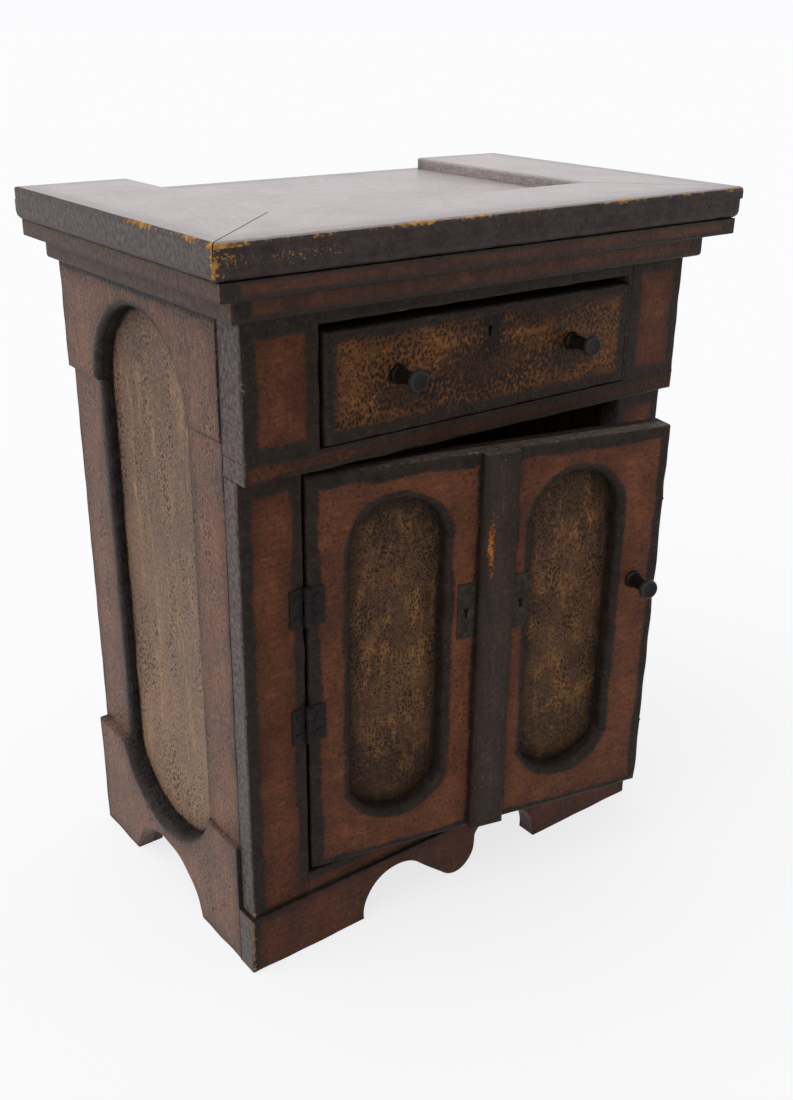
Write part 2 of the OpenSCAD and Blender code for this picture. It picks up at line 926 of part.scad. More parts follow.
module door_top_board_left() door_top_board(0, door_w / 2, left_mid);
module door_top_board_right() door_top_board(door_w / 2, door_w, right_mid);
module door_bottom_board_left() door_bottom_board(0, door_w / 2, left_mid);
module door_bottom_board_right() door_bottom_board(door_w / 2, door_w, right_mid);

module door_hinge_stile() {
    place_door(brown)
        difference() {
            on_door_front()
                door_stile(0, door_hinge_stile_w, true);
            at_hinges()
                at_screws(1)
                    screw_hole();
        }
}

module door_mid_stile_left() {
    place_door(brown)
        difference() {
            on_door_front()
                door_stile(left_mid + recess_w / 2, door_w / 2, false);
            at_plate(-1)
                keyhole(key_deep);
        }
}

module door_mid_stile_right() {
    place_door(brown)
        difference() {
            on_door_front()
                door_stile(door_w / 2, right_mid - recess_w / 2, true);
            at_plate(1)
                keyhole(key_deep);
        }
}

module door_lock_stile() {
    place_door(brown)
        difference() {
            on_door_front()
                door_stile(door_w - door_lock_stile_w, door_w, false);
            translate([door_x + door_knob_u, 0, door_knob_z])
                tenon_hole();
        }
}

// flat strip with round edges that covers the joint at the middle of the door
module door_astragal() {
    place_door(brown)
        translate([door_x + door_w / 2, 0, door_z0])
            linear_extrude(height = door_z1 - door_z0)
                intersection() {
                    mirror([0, 1])
                        translate([-astragal_w / 2, 0])
                            soft_rect([0, 0], [astragal_w, astragal_t], astragal_r, 1);
                    mirror([1, 0])
                        mirror([0, 1])
                            translate([-astragal_w / 2, 0])
                                soft_rect([0, 0], [astragal_w, astragal_t], astragal_r, 1);
                }
}

// puts its children at the middle of a lock plate, at y = 0 on the door's face
module at_plate(side) {
    translate([door_x + door_w / 2 + side * plate_u, 0, plate_z])
        children();
}

module lock_plate(side) {
    place_door(brass)
        at_plate(side)
            difference() {
                block([-plate_w / 2, -plate_t, -plate_h / 2], [plate_w / 2, 0, plate_h / 2]);
                keyhole(past);
            }
}

module door_lock_plate_left() lock_plate(-1);
module door_lock_plate_right() lock_plate(1);

module door_knob() {
    place_door(black)
        translate([door_x + door_knob_u, 0, door_knob_z])
            knob();
}

// ---- drawer ----

module drawer_front() {
    place(ochre)
        difference() {
            block([drawer_mid - drawer_w / 2, drawer_y0, drawer_z0],
                  [drawer_mid + drawer_w / 2, drawer_y1, drawer_z0 + drawer_front_h]);
            for (side = [-1, 1])
                translate([drawer_mid + side * drawer_knob_x, drawer_y0, drawer_knob_z])
                    tenon_hole();
            translate([drawer_mid, drawer_y0, key_z])
                keyhole(key_deep);
        }
}

module drawer_side(right) {
    place(bare)
        translate([drawer_mid, 0, 0])
            on_side(right)
                block([-drawer_w / 2, drawer_y1, drawer_z0],
                      [-drawer_w / 2 + drawer_side_t, drawer_y2, drawer_z0 + drawer_side_h]);
}

module drawer_side_left() drawer_side(false);
module drawer_side_right() drawer_side(true);

module drawer_back() {
    place(bare)
        block([drawer_mid - drawer_w / 2 + drawer_side_t, drawer_y2 - drawer_side_t, drawer_z0],
              [drawer_mid + drawer_w / 2 - drawer_side_t, drawer_y2, drawer_z0 + drawer_side_h]);
}

module drawer_bottom() {
    place(bare)
        block([drawer_mid - drawer_w / 2 + drawer_side_t, drawer_y1, drawer_z0 + drawer_bottom_lift],
              [drawer_mid + drawer_w / 2 - drawer_side_t, drawer_y2 - drawer_side_t,
               drawer_z0 + drawer_bottom_lift + drawer_bottom_t]);
}

module drawer_knob(side) {
    place(black)
        translate([drawer_mid + side * drawer_knob_x, drawer_y0, drawer_knob_z])
            knob();
}

module drawer_knob_left() drawer_knob(-1);
module drawer_knob_right() drawer_knob(1);

side_panel_left();
side_panel_right();
side_top_board_left();
side_top_board_right();
side_foot_board_left();
side_foot_board_right();
side_front_stile_left();
side_front_stile_right();
side_back_stile_left();
side_back_stile_right();
back_board();
floor_board();
shelf();
shelf_cleats();
drawer_deck();
drawer_guides();
door_stop();
upper_stile_left();
upper_stile_right();
top_rail();
drawer_rail();
lower_stile_left();
lower_stile_right();
bottom_rail();
front_apron();
cornice_low_front();
cornice_low_left();
cornice_low_right();
cornice_up_front();
cornice_up_left();
cornice_up_right();
top_board();
top_border_front();
top_border_left();
top_border_right();
hinge_case_leaves();
hinge_pins();
hinge_case_screws();
door_back_panel();
door_top_board_left();
door_top_board_right();
door_bottom_board_left();
door_bottom_board_right();
door_hinge_stile();
door_mid_stile_left();
door_mid_stile_right();
door_lock_stile();
door_astragal();
door_lock_plate_left();
door_lock_plate_right();
door_knob();
hinge_door_leaves();
hinge_door_screws();
drawer_front();
drawer_side_left();
drawer_side_right();
drawer_back();
drawer_bottom();
drawer_knob_left();
drawer_knob_right();
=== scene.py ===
import math

import bpy
import numpy as np
from mathutils import Matrix, Vector
from mathutils.geometry import tessellate_polygon


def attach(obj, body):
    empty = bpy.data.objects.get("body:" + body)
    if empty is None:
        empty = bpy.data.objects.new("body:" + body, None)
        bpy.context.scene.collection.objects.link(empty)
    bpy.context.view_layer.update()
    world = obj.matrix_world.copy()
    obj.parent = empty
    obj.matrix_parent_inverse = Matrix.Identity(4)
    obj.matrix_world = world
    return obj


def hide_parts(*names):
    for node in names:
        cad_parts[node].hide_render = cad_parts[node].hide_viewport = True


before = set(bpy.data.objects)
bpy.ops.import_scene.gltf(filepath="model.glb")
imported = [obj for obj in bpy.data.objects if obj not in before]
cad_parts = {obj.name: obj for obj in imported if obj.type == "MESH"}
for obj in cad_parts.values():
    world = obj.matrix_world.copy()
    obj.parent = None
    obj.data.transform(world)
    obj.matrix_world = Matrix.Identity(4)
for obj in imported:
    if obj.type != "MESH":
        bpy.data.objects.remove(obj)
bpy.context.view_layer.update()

# boards are laid out in millimetres: x to the right, y back from the lower frame, z up
overall = {"shiftY": -75.418, "doorAjar": 12.5, "pinX": -134.4, "pinY": -2.8, "doorX": -133.8}


# millimetres to metres, with the case's y shifted to the frame's origin
def casePlace(points):
    return (np.asarray(points, float) + [0.0, overall["shiftY"], 0.0]) / 1000.0


# the shut door's millimetres, swung ajar about the hinge pins, then as casePlace
def doorPlace(points):
    p = np.asarray(points, float)
    a = math.radians(-overall["doorAjar"])
    x, y = p[:, 0] - overall["pinX"], p[:, 1] - overall["pinY"]
    swung = np.stack([x * math.cos(a) - y * math.sin(a) + overall["pinX"],
            x * math.sin(a) + y * math.cos(a) + overall["pinY"], p[:, 2]], 1)
    return casePlace(swung)


crease = {"sharp": 40, "facing": 0.55}  # degrees between two faces, and a face's share of a direction


# links a mesh as one piece; steep creases stay sharp, "edge" holds the nearness to a worn edge, and faces
# that look along way take the other material where there is one
def makePiece(name, shape, body, replaced, material, place=casePlace, other=None, way=(0, 0, 1)):
    verts, faces, edge = shape
    mesh = bpy.data.meshes.new(name)
    mesh.from_pydata(place(verts).tolist(), [], faces)
    mesh.attributes.new("edge", "FLOAT", "POINT").data.foreach_set("value", np.asarray(edge, np.float32))
    mesh.polygons.foreach_set("use_smooth", [True] * len(mesh.polygons))
    mesh.set_sharp_from_angle(angle=math.radians(crease["sharp"]))
    mesh.materials.append(material)
    if other:
        mesh.materials.append(other)
        normals = np.empty(3 * len(mesh.polygons), np.float32)
        mesh.polygons.foreach_get("normal", normals)
        facing = normals.reshape(-1, 3) @ way > crease["facing"]
        mesh.polygons.foreach_set("material_index", facing.astype(np.int32))
    mesh.validate()
    piece = bpy.data.objects.new(name, mesh)
    bpy.context.collection.objects.link(piece)
    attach(piece, body)
    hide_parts(*replaced)
    return piece


# slow unevenness along a length: the sum of four sines with seeded phases, about -1 to 1
def wander(length, seed, step=9.0):
    rng = np.random.default_rng(seed)
    waves, phases = rng.uniform(0.5, 2.6, 4), rng.uniform(0, 6.28, 4)
    return np.sin(np.outer(length / step, waves) + phases).sum(1) / 2.4


def arcPoints(centre, radius, start, end, count=28):
    t = np.radians(np.linspace(start, end, count))
    return np.stack([centre[0] + radius * np.cos(t), centre[1] + radius * np.sin(t)], 1)


# edge from p0 to p1 with an arc of this chord and rise cut into the board on its left
def cutEdge(p0, p1, mid, chord, rise, count=48):
    p0, p1 = np.array(p0, float), np.array(p1, float)
    along = (p1 - p0) / np.linalg.norm(p1 - p0)
    left = np.array([-along[1], along[0]])
    r = (chord ** 2 / 4 + rise ** 2) / (2 * rise)
    low = math.asin((r - rise) / r)
    t = np.linspace(math.pi - low, low, count)
    arc = p0 + np.outer(mid + r * np.cos(t), along) + np.outer(rise - r + r * np.sin(t), left)
    return np.vstack([p0, arc, p1])


# a round-ended recess: two arcs of the same chord, each with its centre, radius and springing line
def recessOf(mid, chord, lowSpring, drop, highSpring, rise):
    lowR, highR = ((chord ** 2 / 4 + h ** 2) / (2 * h) for h in (drop, rise))
    return {"mid": mid, "half": chord / 2, "lowSpring": lowSpring, "lowR": lowR,
        "lowZ": lowSpring - drop + lowR, "highSpring": highSpring, "highR": highR,
        "highZ": highSpring + rise - highR}


# distance outside the recess: from the arcs' circles beyond the springing lines, and from the straight
# sides between them
def outsideRecess(p, r):
    across = p[:, 0] - r["mid"]
    low = np.hypot(across, p[:, 1] - r["lowZ"]) - r["lowR"]
    high = np.hypot(across, p[:, 1] - r["highZ"]) - r["highR"]
    return np.where(p[:, 1] < r["lowSpring"], low, np.where(p[:, 1] > r["highSpring"], high,
            np.abs(across) - r["half"]))


# from each point of a closed outline, the ways back and on, and their lengths
def sidesOf(p):
    before, after = np.roll(p, 1, 0) - p, np.roll(p, -1, 0) - p
    return before, after, np.linalg.norm(before, axis=1), np.linalg.norm(after, axis=1)


cornerTurn = 0.44  # radians an outline turns at a point that counts as a corner


# closed outline with its corners rounded by small curves and its long edges divided, and its outward
# corners as (distance along it, point, inward bisector, tangent of half the turn)
def densify(outline, corner, step):
    p = np.asarray(outline, float)
    before, after, lb, la = sidesOf(p)
    turn = np.arccos(np.clip(-(before * after).sum(1) / (lb * la), -1, 1))
    r = np.where(turn > cornerTurn, np.minimum(corner, 0.4 * np.minimum(lb, la)), 0.0)[:, None, None]
    t = np.array([0.0, 0.33, 0.67, 1.0])[None, :, None]
    a = p[:, None] + before[:, None] / lb[:, None, None] * r
    b = p[:, None] + after[:, None] / la[:, None, None] * r
    bent = ((1 - t) ** 2 * a + 2 * t * (1 - t) * p[:, None] + t ** 2 * b).reshape(-1, 2)
    bent = bent[np.linalg.norm(bent - np.roll(bent, 1, 0), axis=1) > 1e-4]
    closed = np.vstack([bent, bent[:1]])
    run = np.concatenate([[0], np.cumsum(np.linalg.norm(np.diff(closed, axis=0), axis=1))])
    gaps = np.diff(run)
    parts = np.maximum(1, np.ceil(gaps / step).astype(int))
    inPart = np.concatenate([np.arange(n) for n in parts])
    at = np.repeat(run[:-1], parts) + inPart * np.repeat(gaps / parts, parts)
    corners = []
    for i in np.nonzero(turn > cornerTurn)[0]:
        if -before[i, 0] * after[i, 1] + before[i, 1] * after[i, 0] > 0:
            n0 = np.array([before[i, 1], -before[i, 0]]) / lb[i]
            n1 = np.array([-after[i, 1], after[i, 0]]) / la[i]
            where = run[np.argmin(np.linalg.norm(bent - p[i], axis=1))]
            corners.append((where, p[i], (n0 + n1) / (1 + n0 @ n1), math.tan(turn[i] / 2)))
    ring = np.stack([np.interp(at, run, closed[:, 0]), np.interp(at, run, closed[:, 1])], 1)
    return ring, at, run[-1], corners


seam = {"soft": 0.22, "near": 0.35, "wear": 0.2}  # edges that meet a neighbour: radius, reach in mm, wear
lip = {"near": 0.4, "wear": 0.45}  # edges along a recess


# board from a counter-clockwise outline: rings run up its wall, each one the outline moved inwards by what
# the rounding takes there (r - r cos t at a height of r - r sin t), gathered near outward corners; two flat
# faces close it. Beside a recess the front also drops as a quarter round of radius rollR
def slab(outline, t0, t1, soft=1.8, backSoft=0.6, tight=(), band=3.0, corner=1.0, step=6.0, seed=1,
        pockets=(), recess=None, rollR=4.0, sway=0.0, rough=0.35):
    ring, at, total, corners = densify(outline, corner, step)
    n = len(ring)
    d0, d1 = ring - np.roll(ring, 1, 0), np.roll(ring, -1, 0) - ring
    n0 = np.stack([-d0[:, 1], d0[:, 0]], 1) / np.linalg.norm(d0, axis=1)[:, None]
    n1 = np.stack([-d1[:, 1], d1[:, 0]], 1) / np.linalg.norm(d1, axis=1)[:, None]
    inward = (n0 + n1) / np.maximum(1 + (n0 * n1).sum(1), 0.3)[:, None]
    isTight = np.zeros(n, bool)
    for axis, value in tight:
        isTight |= np.abs(ring[:, axis] - value) < seam["near"]
    isRolled = outsideRecess(ring, recess) < lip["near"] if recess else np.zeros(n, bool)
    uneven = 1 + rough * wander(at, seed)
    front = np.where(isTight, seam["soft"], np.where(isRolled, rollR, soft * uneven))
    rear = np.where(isTight, seam["soft"], backSoft * uneven)
    worn = np.where(isTight, seam["wear"], np.where(isRolled, lip["wear"], 1.0))
    wallBand = min(band, 0.45 * (t1 - t0))
    front, rear = np.minimum(front, t1 - t0 - wallBand - 0.3), np.minimum(rear, 0.8 * wallBand)
    ring = ring + inward * (np.where(isTight, 0, sway) * (0.5 + 0.5 * wander(at, seed + 7, 14.0)))[:, None]

    def ringAt(depth, height):
        points = ring + inward * depth[:, None]
        for where, point, way, reach in corners:
            gap = np.abs((at - where + total / 2) % total - total / 2)
            near = (depth > 0.8 * corner) & (gap < np.maximum(depth * reach, corner))
            points[near] = point + way * depth[near][:, None] + (ring[near] - point) * 0.02
        return np.column_stack([points, height])

    k = 0 * front
    # a quarter round: shares of the radius inwards and upwards, and the nearness to the edge
    bend = [(1.0, 0.0, 0.75), (0.5, 0.134, 0.95), (0.134, 0.5, 0.95), (0.0, 1.0, 0.75)]
    levels = [(np.maximum(rear * 1.1, band), t0 + k, 0.0)]
    levels += [(x * rear, t0 + up * rear, e) for x, up, e in bend]
    levels += [(k, t0 + wallBand + k, 0.0), (k, np.minimum(t1 - wallBand, t1 - front - 0.2), 0.0)]
    levels += [(x * front, t1 - up * front, e) for x, up, e in bend[::-1]]
    levels += [(np.maximum(front * 1.1, band), t1 + k, 0.0)]
    verts = np.concatenate([ringAt(inset, w) for inset, w, _ in levels])
    edge = np.concatenate([worn * e for _, _, e in levels])
    if recess:
        s = np.clip(outsideRecess(verts, recess), 0, rollR)
        verts[:, 2] = np.minimum(verts[:, 2], t1 - rollR + np.sqrt(rollR ** 2 - (rollR - s) ** 2))
    k = np.arange(n)
    nxt = (k + 1) % n
    faces = np.concatenate([np.stack([i * n + k, i * n + nxt, (i + 1) * n + nxt, (i + 1) * n + k], 1)
            for i in range(len(levels) - 1)]).tolist()
    faces.append(k[::-1].tolist())
    top = (len(levels) - 1) * n
    if not pockets:
        faces.append((top + k).tolist())
        return verts, faces, edge
    loops = [[Vector((*p, 0)) for p in verts[top:top + n, :2]]]
    flat = [top + k]
    for hole, deep in pockets:
        hole = np.asarray(hole, float)
        m, start = len(hole), len(verts)
        verts = np.vstack([verts, np.column_stack([hole, np.full(m, t1)]),
                np.column_stack([hole, np.full(m, t1 - deep)])])
        edge = np.concatenate([edge, np.zeros(2 * m)])
        j = np.arange(m)
        j1 = (j + 1) % m
        faces += np.stack([start + j, start + j1, start + m + j1, start + m + j], 1).tolist()
        faces.append((start + m + j).tolist())
        loops.append([Vector((*p, 0)) for p in hole[::-1]])
        flat.append(start + j[::-1])
    flat = np.concatenate(flat)
    tris = [[int(flat[i]) for i in tri] for tri in tessellate_polygon(loops)]
    a, b, c = (verts[np.array(tris)[:, i], :2] for i in range(3))
    up = (b - a)[:, 0] * (c - a)[:, 1] - (b - a)[:, 1] * (c - a)[:, 0] > 0
    faces += [t if ok else t[::-1] for t, ok in zip(tris, up)]
    return verts, faces, edge


# moves (u, v, w) to (x, y, z) by an axis order and signs, then shifts; flips faces where that mirrors them
def turnTo(shape, order, signs, shift=(0, 0, 0)):
    verts, faces, edge = shape
    out = np.stack([signs[i] * verts[:, order[i]] + shift[i] for i in range(3)], 1)
    matrix = np.zeros((3, 3))
    matrix[range(3), order] = signs
    if np.linalg.det(matrix) < 0:
        faces = [list(f)[::-1] for f in faces]
    return out, faces, edge


# closed profile with a rounded corner at each point, and its nearness to a worn edge
def softProfile(corners, radii, band=3.5, wear=None):
    p = np.asarray(corners, float)
    r = np.asarray(radii, float)
    before, after, lb, la = sidesOf(p)
    far = np.minimum(r + band, 0.48 * np.minimum(lb, la))
    r = np.minimum(r, 0.8 * far)
    ub, ua = before / lb[:, None], after / la[:, None]
    t = np.array([0.0, 0.2, 0.4, 0.6, 0.8, 1.0])[None, :, None]
    a, b = (p + ub * r[:, None])[:, None], (p + ua * r[:, None])[:, None]
    curve = (1 - t) ** 2 * a + 2 * t * (1 - t) * p[:, None] + t ** 2 * b
    points = np.concatenate([(p + ub * far[:, None])[:, None], curve, (p + ua * far[:, None])[:, None]], 1)
    wear = np.where(np.asarray(radii) < 0.4, 0.15, 1.0) if wear is None else np.asarray(wear, float)
    return points.reshape(-1, 2), (wear[:, None] * np.array([0, 0.8, 0.95, 1, 1, 0.95, 0.8, 0])).reshape(-1)


# profile (out, up) carried along s: a point at distance out runs from start[0] + start[1] * out to
# end[0] + end[1] * out, so a slope makes a mitre; crack is left open at each end, and the far end's top and
# two corners are taken back as quarter rounds of radius endR
def mitredBar(profile, worn, start, end, seed=1, sway=0.0, step=7.0, crack=0.14, endR=0.0):
    m = len(profile)
    length = abs(end[0] - start[0])
    t = np.linspace(0, 1, max(2, int(length / step)))
    if endR:
        turn = np.linspace(0, math.pi / 2, 9)
        t = np.concatenate([t[t < 1 - 1.3 * endR / length], 1 - endR / length * (1 - np.sin(turn))])
    count = len(t)
    t = t[:, None]
    near = start[0] + crack + start[1] * profile[:, 0]
    far = end[0] - crack + end[1] * profile[:, 0]
    s = (1 - t) * near + t * far
    fade = np.minimum(1, 8 * np.minimum(t, 1 - t)) * sway * worn
    out = profile[:, 0] - fade * (0.5 + 0.5 * wander(t[:, 0] * length, seed)[:, None])
    up = np.repeat(profile[None, :, 1], count, 0)
    if endR:
        left = np.minimum((1 - t) * length, endR)
        cut = endR - np.sqrt(endR ** 2 - (endR - left) ** 2)
        out = np.clip(out, profile[:, 0].min() + cut, profile[:, 0].max() - cut)
        up = np.minimum(up, profile[:, 1].max() - cut)
    verts = np.stack([s, out, up], 2).reshape(-1, 3)
    i, j = np.meshgrid(np.arange(count - 1), np.arange(m), indexing="ij")
    j1 = (j + 1) % m
    faces = np.stack([i * m + j, i * m + j1, (i + 1) * m + j1, (i + 1) * m + j], 2).reshape(-1, 4).tolist()
    faces += [np.arange(m)[::-1].tolist(), ((count - 1) * m + np.arange(m)).tolist()]
    return verts, faces, np.tile(worn, count)


# profile (radius, height) turned about the height and closed by a flat face at each end
def lathe(profile, worn, sides=48):
    profile = np.asarray(profile, float)
    m = len(profile)
    t = np.linspace(0, 2 * np.pi, sides, endpoint=False)
    verts = np.stack([np.outer(np.cos(t), profile[:, 0]), np.outer(np.sin(t), profile[:, 0]),
            np.repeat(profile[None, :, 1], sides, 0)], 2).reshape(-1, 3)
    i, j = np.meshgrid(np.arange(sides), np.arange(m - 1), indexing="ij")
    i1 = (i + 1) % sides
    faces = np.stack([i * m + j, i1 * m + j, i1 * m + j + 1, i * m + j + 1], 2).reshape(-1, 4).tolist()
    faces += [(np.arange(sides) * m)[::-1].tolist(), (np.arange(sides) * m + m - 1).tolist()]
    return verts, faces, np.tile(worn, sides)


def together(shapes):
    verts, faces, worn, base = [], [], [], 0
    for v, f, w in shapes:
        verts.append(v)
        faces += [[i + base for i in face] for face in f]
        worn.append(w)
        base += len(v)
    return np.vstack(verts), faces, np.concatenate(worn)


# sRGB hex to linear colour
def linear(code):
    c = np.array([int(code[i:i + 2], 16) for i in (1, 3, 5)]) / 255.0
    c = np.where(c <= 0.04045, c / 12.92, ((c + 0.055) / 1.055) ** 2.4)
    return (*c.tolist(), 1.0)


# adds a node, sets or links its inputs, and returns one of its outputs; kind may end with an operation
def add(tree, kind, inputs=(), out=0, **settings):
    kind, *operation = kind.split()
    made = tree.nodes.new("ShaderNode" + kind)
    if operation:
        made.operation = operation[0]
    for key, value in settings.items():
        setattr(made, key, value)
    for key, value in (inputs.items() if isinstance(inputs, dict) else enumerate(inputs)):
        if isinstance(value, bpy.types.NodeSocket):
            tree.links.new(value, made.inputs[key])
        elif value is not None:
            made.inputs[key].default_value = value
    return made.outputs[out] if made.outputs else made


# a colour mix: input 0 is the share, 6 and 7 are the colours
rgba = {"out": 2, "data_type": "RGBA"}


def newMaterial(name):
    material = bpy.data.materials.new(name)
    material.use_nodes = True
    material.node_tree.nodes.clear()
    return material, material.node_tree


# object position in the board layout's millimetres; the door's is turned back to shut
def millimetres(tree, onDoor=False):
    position = add(tree, "TexCoord", out="Object")
    shift = overall["shiftY"]
    if not onDoor:
        return add(tree, "Mapping", {"Vector": position, "Scale": (1000, 1000, 1000),
                "Location": (0, -shift, 0)})
    a = math.radians(overall["doorAjar"])
    px, py = overall["pinX"], overall["pinY"]
    tx = px - (px * math.cos(a) - (py + shift) * math.sin(a))
    ty = py - (px * math.sin(a) + (py + shift) * math.cos(a))
    return add(tree, "Mapping", {"Vector": position, "Scale": (1000, 1000, 1000), "Rotation": (0, 0, a),
            "Location": (tx, ty, 0)})


# distance outside a rectangle (a0, a1, b0, b1): the larger of |a - middle| - half over the two axes
def rectDistance(tree, a, b, box):
    sides = []
    for value, low, high in ((a, box[0], box[1]), (b, box[2], box[3])):
        off = add(tree, "Math SUBTRACT", (value, (low + high) / 2))
        off = add(tree, "Math ABSOLUTE", (off,))
        sides.append(add(tree, "Math SUBTRACT", (off, (high - low) / 2)))
    return add(tree, "Math MAXIMUM", sides)


# outsideRecess once more, as nodes
def recessDistance(tree, a, b, r):
    across = add(tree, "Math SUBTRACT", (a, r["mid"]))
    far = add(tree, "Math ABSOLUTE", (across,))
    far = add(tree, "Math SUBTRACT", (far, r["half"]))
    for centre, radius, spring, beyond in ((r["lowZ"], r["lowR"], r["lowSpring"], "LESS_THAN"),
            (r["highZ"], r["highR"], r["highSpring"], "GREATER_THAN")):
        up = add(tree, "Math SUBTRACT", (b, centre))
        line = add(tree, "CombineXYZ", (across, up, 0.0))
        arc = add(tree, "VectorMath LENGTH", (line,), out="Value")
        arc = add(tree, "Math SUBTRACT", (arc, radius))
        pick = add(tree, "Math", (b, spring), operation=beyond)
        far = add(tree, "Mix", {0: pick, 2: far, 3: arc}, data_type="FLOAT")
    return far


# distance from a centre counted in radii, 1 on the ellipsoid's skin
def inRadii(tree, place, centre, radii):
    spot = add(tree, "Mapping", {"Vector": place, "Location": [-m / r for m, r in zip(centre, radii)],
            "Scale": [1 / r for r in radii]})
    return add(tree, "VectorMath LENGTH", (spot,), out="Value")


# noise scales per mm that draw it out along the grain
def stretched(grain, along, across):
    return [along if axis == grain else across for axis in "xyz"]


dabs = {"turn": 0.4, "squash": 0.75, "jitter": 0.92, "rimFrom": -0.1, "from": 0.03, "full": 0.2}
chips = {"from": 0.76, "full": 0.84, "fleckFull": 0.81, "fleckShare": 0.55}  # sums of wear and noise
relief = {"lines": 0.5, "crust": 2.0, "dab": -0.8, "worn": -0.8, "deep": 0.0006}  # shares, and deep in metres


# softwood painted by hand, dull with age: fields of brown inside the rects and more than a band away from
# the recesses (or inside the recesses, for a panel behind them), soft-edged black between, bent dark dabs in
# the fields, and bare wood where nearness to an edge and chip noise together pass a limit. rubs are
# ellipsoids of more wear. An axis may be given whose faces, from a height up, take another tone: a painted
# sheen on faces that look sideways, grey dust and wear on faces that look up. The colour may also grow paler
# towards the foot
def paintedPine(name, look, rects=(), recesses=(), axes=(0, 2), onDoor=False, inside=False, clouds=(),
        rubs=(), dustAndSheen=None, paleFoot=None):
    material, tree = newMaterial(name)
    mm = millimetres(tree, onDoor)
    axis = [add(tree, "SeparateXYZ", (mm,), out=i) for i in range(3)]
    a, b = axis[axes[0]], axis[axes[1]]
    flat = add(tree, "CombineXYZ", (a, b, 0.0))

    # the brush wandered by a millimetre over hand-widths, and its bristles feathered the edge
    slow, fine, crust = (add(tree, "TexNoise", {"Vector": mm, "Scale": scale, "Detail": detail,
            "Roughness": rough}) for scale, detail, rough in ((0.03, 2.0, 0.5), (0.6, 4.0, 0.6),
            (0.3, 5.0, 0.62)))
    slip = add(tree, "MapRange", (slow, 0.3, 0.7, -look["sway"], look["sway"]))
    fuzz = add(tree, "MapRange", (crust, 0.3, 0.7, -look["fuzz"], look["fuzz"]))
    slip = add(tree, "Math ADD", (slip, fuzz))
    far = None
    for box in rects:
        d = rectDistance(tree, a, b, box)
        far = d if far is None else add(tree, "Math MINIMUM", (far, d))
    for recess, band in recesses:
        d = recessDistance(tree, a, b, recess)
        if inside:
            d = add(tree, "Math ADD", (d, band))
            far = d if far is None else add(tree, "Math MINIMUM", (far, d))
        else:
            d = add(tree, "Math SUBTRACT", (band, d))
            far = add(tree, "Math MAXIMUM", (far, d))
    far = add(tree, "Math ADD", (far, slip))
    field = add(tree, "MapRange", (far, look["blur"], -look["blur"]), interpolation_type="SMOOTHSTEP")
    # the ground darkens within 11 mm of a field's edge: a glaze on the fronts; on the recessed panels partly
    # dark paint, partly painted shade beside the recess walls
    nearBorder = add(tree, "MapRange", (far, -11.0, 0.0, 1.0, 1.0 - look["glazeAndShade"]))

    # the ground: two browns in hand-sized patches, darker towards the borders
    patch = add(tree, "TexNoise", {"Vector": mm, "Scale": 0.022, "Detail": 5.0, "Roughness": 0.65})
    patch = add(tree, "MapRange", (patch, 0.36, 0.64))
    colour = add(tree, "Mix", {0: patch, 6: linear(look["deep"]), 7: linear(look["field"])}, **rgba)

    # thin streaky ochre that lets the ground through
    wash = add(tree, "Mapping", {"Vector": flat, "Location": (37.0, 11.0, 5.0),
            "Scale": (*look["washScale"], 1.0)})
    wash = add(tree, "TexNoise", {"Vector": wash, "Scale": 1.0, "Detail": 7.0, "Roughness": 0.78})
    wash = add(tree, "MapRange", (wash, look["washFrom"], look["washFrom"] + 0.14, 0.0, look["washAmount"]))
    colour = add(tree, "Mix", {0: wash, 6: colour, 7: linear(look["wash"])}, **rgba)

    # paler towards the foot, by height alone
    if paleFoot:
        low = add(tree, "MapRange", (axis[2], paleFoot["none"], paleFoot["full"], 0.0, paleFoot["amount"]))
        colour = add(tree, "Mix", {0: low, 6: colour, 7: linear(paleFoot["tone"])}, **rgba)

    # dabs of the brush tip: bent spots, one to a cell, each its own size, larger where the dab noise is high
    bend = add(tree, "TexNoise", {"Vector": mm, "Scale": 0.35, "Detail": 3.0}, out=1)
    bend = add(tree, "VectorMath ADD", (bend, (-0.5, -0.5, -0.5)))
    bend = add(tree, "VectorMath SCALE", {0: bend, "Scale": look["dabBend"]})
    bend = add(tree, "VectorMath ADD", (bend, flat))
    lean = add(tree, "Mapping", {"Vector": bend, "Rotation": (0.0, 0.0, dabs["turn"]),
            "Scale": (1.0, dabs["squash"], 1.0)})
    cell, each = (add(tree, "TexVoronoi", {"Vector": lean, "Scale": 1.0 / look["dabSpacing"],
            "Randomness": dabs["jitter"]}, out=i, voronoi_dimensions="2D") for i in (0, 1))
    each = add(tree, "SeparateColor", (each,))
    dense = add(tree, "Mapping", {"Vector": flat, "Location": (5.0, 23.0, 0.0),
            "Scale": (*look["washScale"], 1.0)})
    dense = add(tree, "TexNoise", {"Vector": dense, "Scale": 0.9, "Detail": 4.0})
    reach = add(tree, "MapRange", (dense, 0.36, 0.64, look["dabLow"], look["dabHigh"]))
    reach = add(tree, "Math MULTIPLY_ADD", (fine, 0.16, reach))
    reach = add(tree, "Math MULTIPLY_ADD", (each, 0.16, reach))
    nearer = add(tree, "Math SUBTRACT", (reach, cell))
    dab = add(tree, "MapRange", (nearer, dabs["from"], dabs["full"]))
    rim = add(tree, "MapRange", (nearer, dabs["rimFrom"], dabs["from"]))
    rim = add(tree, "Math SUBTRACT", (rim, dab), use_clamp=True)
    rim = add(tree, "Math MULTIPLY", (rim, look["rim"]))
    colour = add(tree, "Mix", {0: rim, 6: colour, 7: linear(look["rimTone"])}, **rgba)
    dab = add(tree, "Math MULTIPLY", (dab, look["dabAmount"]))
    colour = add(tree, "Mix", {0: dab, 6: colour, 7: linear(look["dab"])}, **rgba)
